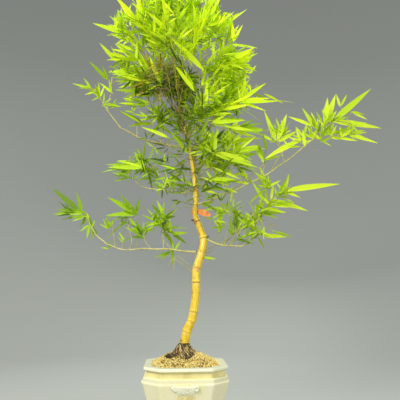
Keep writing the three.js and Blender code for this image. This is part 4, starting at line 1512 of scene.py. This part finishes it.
# Sprays that grow last: where the shoot ends, its brightness as painted light, then each leaf's rise
# and length
lateSprays = [
    ((-130, -30, 1022), 0.45, [(174, 84), (160, 62), (188, 44)]),
    ((-143, -25, 962), 0.4, [(150, 92)]),
    ((-126, -20, 906), 0.25, [(178, 36), (106, 30)]),
    ((-106, -20, 876), 0.5, [(-122, 36), (-60, 30), (140, 34)]),
    ((-142, 10, 821), 0.72, [(176, 116), (118, 54), (160, 70)]),
    ((-64, 0, 839), 0.1, [(88, 30), (172, 42)]),
    ((-35, -30, 804), 0.75, [(158, 54)]),
    ((-66, 0, 742), 0.2, [(-95, 32), (-60, 24), (40, 34)]),
    ((-187, 20, 789), 0.3, [(172, 50), (154, 52), (190, 46)]),
    ((171, -95, 1010), 0.86, [(41, 108), (0, 122), (9, 98), (-21, 88), (68, 66), (96, 52)]),
    ((167, -90, 926), 0.62, [(27, 56), (11, 82), (-1, 80), (-9, 86)]),
    ((121, -80, 955), 0.66, [(3, 68)]),
    ((160, -85, 846), 0.66, [(9, 64)]),
    ((168, -70, 818), 0.5, [(-17, 64)]),
    ((82, -40, 764), 0.45, [(2, 74)]),
    ((132, -45, 763), 0.5, [(-4, 62)]),
    ((64, -30, 769), 0.2, [(-75, 36), (-40, 38), (200, 26)]),
    ((108, -50, 701), 0.2, [(58, 30), (116, 26), (84, 22)]),
    ((84, -40, 677), 0.5, [(165, 46), (192, 40), (-20, 40)]),
    ((109, -40, 684), 0.6, [(-88, 64), (-120, 34)]),
    ((160, -50, 620), 0.6, [(91, 74), (60, 40)]),
    ((117, -45, 620), 0.5, [(178, 48), (120, 34)]),
    ((230, -80, 659), 0.6, [(-4, 68), (-16, 60)]),
    ((-335, 115, 682), 0.6, [(-100, 54), (-70, 50)]),
    ((-341, 110, 688), 0.66, [(180, 106), (168, 84)]),
    ((-247, 0, 1022), 0.6, [(32, 34), (4, 40)]),
    ((-174, -20, 1029), 0.5, [(176, 56), (150, 44)]),
    ((235, -110, 910), 0.6, [(178, 66), (170, 52)]),
    ((244, -105, 854), 0.6, [(106, 62)]),
    ((238, -100, 826), 0.55, [(112, 66)]),
    ((220, -100, 861), 0.66, [(192, 66), (182, 50)]),
    ((-63, -5, 781), 0.5, [(-110, 40), (-70, 34), (100, 30), (196, 42)]),
    ((-73, 0, 755), 0.65, [(150, 40), (214, 34)]),
    ((81, -40, 715), 0.4, [(150, 40), (30, 40), (190, 34)]),
    ((56, -38, 693), 0.5, [(8, 46), (-22, 52)]),
    ((90, -42, 636), 0.55, [(168, 34), (-12, 36), (-62, 32)]),
    ((141, -50, 598), 0.55, [(98, 60), (132, 38)]),
    ((152, -55, 579), 0.5, [(18, 50), (-12, 58)]),
    ((-256, 90, 631), 0.5, [(98, 42), (122, 38), (152, 34), (78, 30)]),
    ((-308, 108, 627), 0.5, [(-95, 36), (-60, 30), (112, 46)]),
    ((-138, 60, 601), 0.3, [(150, 56), (124, 42), (170, 46), (60, 32)]),
    ((-254, 90, 571), 0.6, [(100, 28), (60, 24), (168, 28)]),
    ((495, -168, 950), 0.8, [(-2, 46), (-26, 52)]),
    ((463, -160, 972), 0.85, [(58, 48), (100, 44)]),
    ((152, -75, 1228), 0.84, [(64, 72), (88, 86)]),
    ((-221, -40, 1272), 0.84, [(160, 104), (146, 58)]),
    ((-191, -40, 1265), 0.84, [(136, 98), (148, 70)]),
    ((-244, -35, 1060), 0.42, [(102, 50)]),
    ((-255, -35, 1100), 0.42, [(114, 54), (131, 94)]),
]
# Where the backdrop shows between the sprays, on the plane through the culm: middle, half size
skyGaps = [(280, 1123, 61, 53), (257, 1035, 49, 23), (-207, 871, 25, 31), (280, 640, 44, 33),
           (-282, 1358, 33, 39), (158, 818, 33, 16), (151, 1419, 29, 29), (-102, 968, 20, 18),
           (269, 1204, 32, 31), (-280, 1132, 18, 24)]
# Single leaves across the culm's front: base, rise in degrees, length, place in leafColours
culmLeaves = [
    ((9, -34, 853), 18, 50, 1),
    ((8, -35, 851), 128, 96, 2),
    ((2, -36, 868), 62, 44, 3),
    ((-4, -33, 893), 148, 60, 4),
    ((20, -26, 805), 176, 52, 5),
    ((22, -26, 803), 8, 30, 4),
    ((24, -25, 799), -32, 26, 5),
    ((20, -22, 750), 170, 58, 4),
    ((24, -22, 752), 152, 46, 1),
    ((26, -22, 748), 24, 30, 3),
]
leafColours = [  # from the brightest outer leaves to the shaded inner ones: lit and shaded copies of the leaf green, painted light and painted shade; straw is the dry leaves' own colour
    ("lemon", tone(222, 246, 30), tone(230, 250, 24)),
    ("lime", tone(198, 230, 22), tone(210, 238, 18)),
    ("fresh", tone(170, 206, 18), tone(186, 218, 14)),
    ("grass", tone(138, 172, 16), tone(158, 190, 12)),
    ("deep", tone(112, 142, 16), tone(132, 164, 14)),
    ("shade", tone(82, 106, 16), tone(98, 124, 14)),
    ("straw", tone(182, 166, 58), tone(194, 176, 50)),
]
dry = -2.0  # a brightness that stands for the straw colour

rng = random.Random(foliage["seed"])
leaves = []  # base, way, facing, length, width, bend, place in leafColours
twigs = []   # points, radii, and age from 0 for green to 1 for brown
lowReach = np.array(cadBox[0]) / mm - foliage["clear"]
highReach = np.array(cadBox[1]) / mm + foliage["clear"]
crownCentre = np.array(foliage["crownCentre"], float)
ballShare = 4.19  # an ellipsoid's volume over the product of its half sizes


def randomWay():
    return unit(np.array([rng.gauss(0, 1), rng.gauss(0, 1), rng.gauss(0, 1)]))


def turned(way, axis, degrees):
    angle = math.radians(degrees)
    return (way * math.cos(angle) + np.cross(axis, way) * math.sin(angle)
            + axis * axis.dot(way) * (1 - math.cos(angle)))


def risingWay(degrees, deep):
    # seen from the front: degrees from pointing right
    angle = math.radians(degrees)
    return np.array([math.cos(angle), deep, math.sin(angle)])


def roundWay(angle, rise):
    # seen from above: an angle from pointing right
    return np.array([math.cos(angle), math.sin(angle), rise])


def addLeaf(base, way, facing, length, brightness, sag=None, placed=False):
    facing = facing - way * facing.dot(way)
    if np.linalg.norm(facing) < 0.05:
        facing = np.cross(way, randomWay())
    facing = unit(facing)
    slim = rng.uniform(*foliage["slimness"])
    right, low = foliage["lowerFrom"]
    if placed and (base[0] > right or base[2] < low):
        slim *= foliage["lowerWidth"]
    if sag is None:
        sag = foliage["sag"] * rng.uniform(0.2, 1.6)
    twist = rng.uniform(-0.06, 0.06)
    level = 1 - abs(way[2])
    bend = -up * sag * (0.35 + 0.65 * level) + np.cross(way, facing) * twist
    middle = base + way * length / 2
    low, high, aside = foliage["bareCulm"]
    if low < middle[2] < high:
        behind = nearLevel(middle[2])
        hidden = abs(middle[0] - behind[0]) < aside and middle[1] < behind[1]
        if hidden and rng.random() < foliage["bareChance"]:
            return
    for share in (1, 0.82, 0.66, 0.5):
        tip = base + (way + bend) * length * share
        if np.all(tip > lowReach) and np.all(tip < highReach):
            break
    else:
        return
    length = length * share
    width = min(foliage["widest"], length * slim + 1.2)
    last = len(leafColours) - 1
    colour = last if brightness < -1 else min(last - 1, max(0, int((1 - brightness) * last)))
    leaves.append((base, way, facing, length, width, bend * length, colour))


def addSpray(place, way, count, brightness, lengths, size=1.0, spread=56):
    # alternate leaves along a short shoot, the first one pointing on from its end
    plane = unit(np.cross(way, randomWay()) + 0.35 * (up - way * way[2]))
    low, high, usual = lengths
    shoot = rng.uniform(0.16, 0.24) * usual * size
    for order in range(count):
        if order == 0:
            angle = rng.uniform(-16, 16)
        else:
            angle = rng.uniform(18, spread) * (1 if order % 2 else -1)
        direction = unit(turned(way, plane, angle) + randomWay() * 0.22)
        facing = turned(plane, direction, rng.uniform(-50, 50))
        length = rng.triangular(low, high, usual) * size * (1.06 - 0.07 * order)
        base = place - way * shoot * order
        addLeaf(base, direction, facing, length, brightness + rng.gauss(0, 0.05))


def growTwig(spots, tip, endWay, thick, age=None):
    # a curved twig from the best starting spot to the tip; its own points become new spots
    points = np.array([point for point, way in spots])
    ways = np.array([way for point, way in spots])
    gaps = tip - points
    distances = np.linalg.norm(gaps, axis=1) + 1e-6
    ahead = (gaps * ways).sum(axis=1) / distances
    prices = distances * (1.45 - 0.45 * ahead) + 1e4 * (distances < 1)
    start, way = spots[int(prices.argmin())]
    reach = float(np.linalg.norm(tip - start))
    steps = max(2, int(reach / foliage["twigStep"]))
    bendOne = start + unit(way + 0.9 * unit(tip - start)) * reach * 0.36
    bendTwo = tip - endWay * reach * 0.3
    line = []
    for step in range(steps + 1):
        part = step / steps
        point = (start * (1 - part) ** 3 + 3 * bendOne * part * (1 - part) ** 2
                 + 3 * bendTwo * part ** 2 * (1 - part) + tip * part ** 3)
        if 0 < step < steps:
            point = point + randomWay() * min(1.6, reach * 0.02)
        line.append(point)
    thin = max(0.45, thick - 0.25 - reach * 0.0022)
    radii = np.linspace(thick, thin, len(line))
    twigs.append((line, radii, rng.uniform(0, 0.5) if age is None else age))
    spots += spotsAlong(line)


def spotsAlong(line, orders=None):
    # points with the line's way there, where twigs may start
    return [(line[order], unit(line[order] - line[order - 1]))
            for order in orders or range(1, len(line))]


def limbSpots(name, share):
    path = boughPaths[name]
    first = max(1, int(len(path) * (1 - share)))
    return spotsAlong(path, [*range(first, len(path), 4), -1])


def growCompanions(spots):
    for name, share, thick, through in companions:
        trunk = boughPaths[name]
        path = linePath([trunk[int(share * (len(trunk) - 1))]] + through, 8.0)
        radii = np.linspace(thick * 1.3, thick * 0.8, len(path))
        twigs.append((path, radii, rng.uniform(0, 0.35)))
        spots[name] += spotsAlong(path, range(len(path) // 2, len(path)))


def growFan(spots, place, fan, bright):
    # a twig from the nearest limb with long leaves that face the front
    tip = np.array(place, float)
    nearest = min(spots, key=lambda name: min(float(np.linalg.norm(point - tip))
                                              for point, way in spots[name]))
    heading = np.zeros(3)
    for rise, length in fan:
        heading += risingWay(rise, 0) * length
    heading = unit(unit(heading) + 0.25 * up)
    growTwig(spots[nearest], tip, heading, 1.2)
    for rise, length in fan:
        way = unit(risingWay(rise, rng.uniform(-0.22, 0.22)))
        facing = unit(np.array([0, -1, 0]) + 0.24 * randomWay() + 0.2 * up)
        base = tip - heading * rng.uniform(0, 9) + randomWay() * 1.5
        addLeaf(base, way, facing, length, bright + rng.gauss(0, 0.12), 0.05, True)
    return tip, heading


def growOutline(spots):
    for place, fan in outlineSprays:
        x, y, z = place
        high = z > outlineLight["highFrom"]
        bright = outlineLight["high" if high else "low"]
        if x > 0 or z > outlineLight["topFrom"] or x > outlineLight["sunnyFrom"] and high:
            bright = outlineLight["sunny"]
        tip, heading = growFan(spots, place, fan, bright)
        if rng.random() < outlineLight["crossChance"]:
            # one leaf towards or away from the front
            way = unit(np.array([heading[0] * 0.5, rng.choice((-1, 1)), heading[2] * 0.5]))
            addLeaf(tip - heading * 12, way, up, rng.uniform(40, 80), 0.6 + rng.gauss(0, 0.12))


def growForkStems():
    # stems through the crown, whose points serve every mass of the crown
    low, high = forkStems["from"]
    wide, deep = forkStems["spread"]
    start = [(point, unit(after - point)) for point, after in zip(culmPath, culmPath[1:])
             if low < point[2] < high]
    grown = []
    for order in range(forkStems["count"]):
        angle = math.tau * (order * 0.618 + rng.uniform(-0.08, 0.08))
        part = rng.uniform(0.35, 1.0)
        tip = np.array([crownCentre[0] + wide * part * math.cos(angle),
                        deep * part * math.sin(angle),
                        rng.uniform(*forkStems["rise"]) - 90 * part])
        way = unit(tip - np.array([-15, 3, 900]) + 30 * randomWay())
        begin = [rng.choice(start)]
        growTwig(begin, tip, way, forkStems["thick"])
        grown += begin[3:]
    return grown


def growCulmShoots(spots):
    # spots: where the crown's twigs start, to which the upper shoots add theirs
    low, high = culmShoots["levels"]
    level = low
    while level < high:
        start = nearLevel(level)
        angle = rng.uniform(0, math.tau)
        if math.sin(angle) > 0 or math.cos(angle) < 0:
            angle = rng.uniform(0, math.tau)  # more of them towards the front and the right
        rise = math.radians(rng.uniform(-5, 55))
        reach = rng.uniform(*culmShoots["reach"]) * (0.6 + 0.4 * smooth(level, low, 830))
        way = np.array([math.cos(angle) * math.cos(rise), math.sin(angle) * math.cos(rise),
                        math.sin(rise)])
        tip = start + way * reach
        begin = [(start, way)]
        growTwig(begin, tip, unit(way + 0.3 * randomWay() + 0.3 * up), 0.9)
        bright = 0.34 + rng.gauss(0, 0.16)
        addSpray(tip, unit(way + 0.35 * randomWay()), rng.randint(1, 4), bright,
                 foliage["smallLeaf"])
        if level > 900:
            spots += begin[2:]
        level += culmShoots["step"]


def growWisps():
    # thin, mostly bare twigs from the culm's nodes
    for order in range(culmShoots["wisps"]):
        start = nearLevel(rng.choice(culmShoots["wispLevels"]) + rng.uniform(-4, 4))
        way = unit(roundWay(rng.uniform(0, math.tau), rng.uniform(-0.25, 0.7)))
        leafy = start[2] > culmShoots["leafyFrom"]
        tip = start + way * (rng.uniform(40, 150) if leafy else rng.uniform(20, 70))
        growTwig([(start, way)], tip, unit(way + 0.5 * randomWay()), 0.7, rng.uniform(0.1, 0.9))
        if rng.random() < 0.3 and leafy:
            addSpray(tip, way, rng.randint(1, 2), 0.3 + rng.gauss(0, 0.15),
                     foliage["smallLeaf"], 0.8)


def growForkKnot(spots):
    for height, degrees, length, thick in culmShoots["stubs"]:
        start = nearLevel(height)
        way = unit(roundWay(math.radians(degrees), 0.35))
        growTwig([(start, way)], start + way * (culmRadius(height) + length), way, thick, 1.0)
    for order in range(forkKnot["stubs"]):
        start = nearLevel(rng.uniform(*forkKnot["levels"]))
        way = unit(roundWay(rng.uniform(0, math.tau), rng.uniform(0.1, 1.6)))
        tip = start + way * rng.uniform(*forkKnot["reach"])
        growTwig([(start, way)], tip, unit(way + 0.5 * up), 1.1, rng.uniform(0.85, 1.0))
    low, high = forkKnot["riserLevels"]
    starts = [spot for spot in spots if low < spot[0][2] < high]
    for order in range(forkKnot["risers"]):
        start, way = rng.choice(starts)
        way = unit(up + 0.30 * randomWay())
        tip = start + way * rng.uniform(*forkKnot["riserReach"])
        growTwig([(start, way)], tip, unit(way + 0.3 * randomWay()), 0.75,
                 rng.uniform(0.55, 0.95))


def growTangle(spots):
    for order in range(forkKnot["tangle"]):
        shift = randomWay() * rng.uniform(0.1, 1.0) ** 0.4
        place = np.array(forkKnot["tangleAt"]) + np.array(forkKnot["tangleHalf"]) * shift
        begin = min(spots, key=lambda spot: float(np.linalg.norm(spot[0] - place)
                                                  + max(0.0, spot[0][2] - place[2])))
        way = unit(0.5 * up + randomWay())
        age = rng.uniform(0.15, 0.75)
        growTwig([begin], place, way, 0.9, age)
        for side in range(rng.randint(1, 3)):
            aside = unit(way + 0.9 * randomWay())
            tip = place + aside * rng.uniform(14, 42)
            growTwig([(place, aside)], tip, unit(aside + 0.5 * randomWay()), 0.65, age)
            if rng.random() < 0.5:
                bright = dry if rng.random() < 0.5 else 0.3 + rng.gauss(0, 0.15)
                addSpray(tip, aside, rng.randint(1, 3), bright, foliage["smallLeaf"], 0.72)


def clumpTips(centre, half, count, core):
    # sprays in clumps, with gaps between the clumps
    tips = []
    for order in range(count):
        middle = centre + randomWay() * half * rng.uniform(0.05, 1.0) ** 0.4
        outward = unit(middle - core)
        for spray in range(rng.randint(*foliage["spraysPerClump"])):
            shift = randomWay() * foliage["clumpSize"] * rng.uniform(0.4, 1.0)
            tips.append(middle + shift - outward * max(0.0, shift.dot(outward)) * 0.6)
    return tips


def fanTips(centre, whole, count, core):
    # fans of long leaves on the outward side of their mass
    tips = []
    for order in range(count):
        way = randomWay()
        if way.dot(unit(centre - core + 0.01 * up)) < -0.2:
            way = -way
        tips.append(centre + way * whole * rng.uniform(*foliage["fanAt"]))
    return tips


def brightnessAt(place, rise):
    # painted light towards the crown's outside and top, painted shade in its heart
    outer = np.linalg.norm((place - crownCentre) / np.array(foliage["crownHalf"]))
    height = smooth(place[2], 560, 1330)
    bright = 0.12 + 0.44 * min(1.1, outer) + 0.24 * height + 0.10 * rise
    # painted shade on the lower left of the plant
    if place[0] < -50 and place[2] < 950:
        bright -= 0.12
    return bright


def growShoot(near, tip, core, crown, isFan, size, extra):
    # one twig of a mass with its leaves
    outward = unit(tip - core)
    if crown:
        outward[2] = max(outward[2], 0.1)
    if isFan:
        lift = 0.18 + 0.25 * smooth(tip[2], 1230, 1420)
        endWay = unit(outward * (1.0, 1.0, 0.75) + lift * up + 0.28 * randomWay())
    else:
        lift = 0.1 + 0.3 * smooth(tip[2], 1180, 1400) if crown else 0.25
        endWay = unit(0.6 * outward + lift * up + 0.75 * randomWay())
    growTwig(near, tip, endWay, 0.9)
    bright = brightnessAt(tip, endWay[2]) + extra + rng.gauss(0, 0.15 if crown else 0.12)
    if isFan:
        addSpray(tip, endWay, rng.randint(*foliage["leavesPerFan"]), bright + 0.16,
                 foliage["longLeaf"], size, 44)
    else:
        addSpray(tip, endWay, rng.randint(*foliage["leavesPerSpray"]), bright - 0.14,
                 foliage["smallLeaf"], size)


def boxMiddle(name):
    low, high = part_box(name)
    return np.array((low + high) / 2) / mm, np.array((high - low) / 2) / mm


def growMasses(spots, shared):
    opening = np.array(foliage["opening"], float)
    for name, (feed, density, fans, size, extra, pull) in growth.items():
        centre, whole = boxMiddle(name)
        half = whole * foliage["inward"]
        litres = ballShare * half.prod() * 1e-6
        count = round(density * litres)
        near = spots[feed]
        start = near[-1][0]
        core = centre * 0.6 + start * 0.4
        crown = name.startswith("crown")
        if crown:
            near = near + shared
            core = crownCentre
            centre = centre + (core - centre) * pull
        limb = np.array([point for point, way in near])
        tips = [(tip, False) for tip in clumpTips(centre, half, count, core)]
        tips += [(tip, True) for tip in fanTips(centre, whole, fans, core)]
        tips.sort(key=lambda entry: float(np.linalg.norm(entry[0] - start)))
        for tip, isFan in tips:
            within = np.all(tip > opening[0]) and np.all(tip < opening[1])
            if within and rng.random() < foliage["openingChance"]:
                continue
            if not crown:
                nearest = limb[np.linalg.norm(limb - tip, axis=1).argmin()]
                tip = tip + (nearest - tip) * pull
            growShoot(near, tip, core, crown, isFan, size, extra)
        for order in range(int(count * foliage["bareTwigs"])):
            tip = centre + randomWay() * half * rng.uniform(0.2, 1.0)
            growTwig(near, tip, unit(tip - core + 40 * randomWay()), 0.7, rng.uniform(0.2, 0.9))


def inGap(point):
    # seen from the camera, on the plane through the culm
    eye = np.array(camera["at"]) / mm
    seen = eye - (point - eye) * eye[1] / (point[1] - eye[1])
    return any(((seen[0] - x) / wide) ** 2 + ((seen[2] - z) / tall) ** 2 < 1
               for x, z, wide, tall in skyGaps)


def clearGaps():
    leaves[:] = [leaf for leaf in leaves
                 if not any(inGap(leaf[0] + leaf[1] * leaf[3] * share) for share in (0.5, 0.92))]
    for index, (line, radii, age) in enumerate(twigs):
        cut = [inGap(point) for point in line]
        if any(cut) and not cut[0]:
            end = max(2, cut.index(True))
            twigs[index] = (line[:end], radii[:end], age)


def growCulmLeaves():
    for base, rise, length, colour in culmLeaves:
        way = unit(risingWay(rise, -0.12))
        facing = np.array([0.1, -1.0, 0.25])
        facing = unit(facing - way * facing.dot(way))
        bend = -up * 0.12 * length * (1 - abs(way[2]))
        leaves.append((np.array(base, float), way, facing, length, length * 0.13 + 1.2, bend,
                       colour))


def growPlant():
    spots = {name: limbSpots(name, 0.9) for name in boughs}
    spots["culm"] = []
    growCompanions(spots)
    growOutline(spots)
    shared = growForkStems()
    growCulmShoots(shared)
    growWisps()
    growForkKnot(shared)
    growTangle(shared)
    growMasses(spots, shared)
    clearGaps()
    for place, bright, fan in lateSprays:
        growFan(spots, place, fan, bright)
    growCulmLeaves()


growPlant()
print("shoots grown:", len(twigs), "twigs,", len(leaves), "leaves")


# The leaves: one blade, placed, turned and bent for each of the leaves grown

blade = {
    "Steps": 9,        # points along the leaf
    "Fold": 0.28,      # how far the halves rise from the midrib
}
bladeOutline = [(0.0, 0.0), (0.05, 0.16), (0.12, 0.62), (0.24, 0.93), (0.36, 1.0), (0.55, 0.88),
                (0.75, 0.56), (0.9, 0.25), (1.0, 0.0)]
regions = {  # what belongs to each, the rest being the last one's, and its colours' shares; the left and right take the leaf colours dimmer and bluer, as painted shade
    "crown": (lambda place: place[2] > 935 and abs(place[0] + 20) < 330, (1.0, 1.0, 1.0)),
    "left": (lambda place: place[0] < -20, (0.92, 0.98, 2.6)),
    "right": (lambda place: True, (0.87, 0.88, 2.3)),
}


def leafMaterial(name, colours, tint):
    face, glow = (tuple(min(1.0, value * share) for value, share in zip(colour, tint)) + (1.0,)
                  for colour in colours)
    material, tree = newMaterial(name)
    shader = addNode(tree, "ShaderNodeBsdfPrincipled", {"Base Color": face, "Roughness": 0.52,
                                                        "Specular IOR Level": 0.22})
    through = addNode(tree, "ShaderNodeBsdfTranslucent", {"Color": glow})
    mixed = addNode(tree, "ShaderNodeMixShader", {"Fac": 0.32, 1: shader, 2: through})
    addNode(tree, "ShaderNodeOutputMaterial", {"Surface": mixed})
    return material


def bladeShape(tree, given):
    # a grid drawn out to the blade's outline, with its halves folded up
    grid = addNode(tree, "GeometryNodeMeshGrid", {"Size X": 1.0, "Size Y": 1.0, "Vertices Y": 3,
                                                  "Vertices X": given["Steps"]})
    place = addNode(tree, "GeometryNodeInputPosition")
    x, y, z = addNode(tree, "ShaderNodeSeparateXYZ", {0: place}).outputs
    even = calculate(tree, "ADD", x, 0.5)
    along = calculate(tree, "MULTIPLY", even, scaleAdd(tree, even, 0.42, 0.58))
    curve = addNode(tree, "ShaderNodeFloatCurve", {"Value": along})
    points = curve.mapping.curves[0].points
    points[0].location = bladeOutline[0]
    points[1].location = bladeOutline[-1]
    for corner in bladeOutline[1:-1]:
        points.new(*corner)
    curve.mapping.update()
    across = calculate(tree, "MULTIPLY", y, curve)
    rise = calculate(tree, "MULTIPLY", calculate(tree, "ABSOLUTE", across), given["Fold"])
    shaped = addNode(tree, "ShaderNodeCombineXYZ", {0: along, 1: across, 2: rise})
    bent = addNode(tree, "GeometryNodeSetPosition", {"Geometry": grid, "Position": shaped})
    closed = addNode(tree, "GeometryNodeMergeByDistance", {"Geometry": bent, "Distance": 0.001})
    return addNode(tree, "GeometryNodeStoreNamedAttribute",
                   {"Geometry": closed, "Name": "along", "Value": x},
                   data_type="FLOAT", domain="POINT")


def leafTree(name, material):
    tree, given = newTree(name, blade)
    way, facing, size, bend = (namedInput(tree, key, "FLOAT_VECTOR")
                               for key in ("way", "facing", "size", "bend"))
    rotation = addNode(tree, "FunctionNodeAxesToRotation", {0: way, 1: facing},
                       primary_axis="X", secondary_axis="Z")
    placed = addNode(tree, "GeometryNodeInstanceOnPoints",
                     {"Points": given["Geometry"], "Instance": bladeShape(tree, given),
                      "Rotation": rotation, "Scale": size})
    whole = addNode(tree, "GeometryNodeRealizeInstances", {"Geometry": placed})
    part = calculate(tree, "MAXIMUM", namedInput(tree, "along"), 0.0)
    shift = vectorMath(tree, "SCALE", bend, calculate(tree, "POWER", part, 1.8))
    hung = addNode(tree, "GeometryNodeSetPosition", {"Geometry": whole, "Offset": shift})
    endTree(tree, hung, material)
    return tree


def buildLeaves(name, members, material, nodes):
    bases, ways, facings, lengths, widths, bends, colours = zip(*members)
    sizes = np.column_stack([lengths, widths, widths]) * mm
    values = {"way": ways, "facing": facings, "size": sizes, "bend": np.array(bends) * mm}
    mesh = newMesh(name, bases, values=values)
    piece = runTree(name, mesh, leafTree(name + "Blades", material), blade)
    for key in ("along", *values):
        if key in piece.data.attributes:
            piece.data.attributes.remove(piece.data.attributes[key])
    placePiece(piece, nodes)
    return len(piece.data.polygons)


def buildFoliage():
    masses = {region: [] for region in regions}
    for name in growth:
        middle, half = boxMiddle(name)
        owner = next(region for region, (belongs, tint) in regions.items() if belongs(middle))
        masses[owner].append(name)
    left = leaves
    faces = 0
    for region, (belongs, tint) in regions.items():
        mine = [leaf for leaf in left if belongs(leaf[0])]
        left = [leaf for leaf in left if not belongs(leaf[0])]
        for index, (colour, *colours) in enumerate(leafColours):
            members = [leaf for leaf in mine if leaf[6] == index]
            if members:
                label = "leaves" + region.capitalize() + colour.capitalize()
                faces += buildLeaves(label, members, leafMaterial(label, colours, tint),
                                     masses[region])
    skin = stemMaterial("twigSkin", [(0.0, 216, 206, 120), (0.4, 190, 184, 84),
                                     (0.75, 140, 150, 56), (1.0, 110, 104, 48)],
                        [(0.0, 164, 124, 54), (0.5, 118, 92, 42), (1.0, 60, 46, 24)],
                        (110, 90, 50))
    placePiece(buildStems("twigs", twigs, 5, skin))
    return faces


print("leaf faces:", buildFoliage())
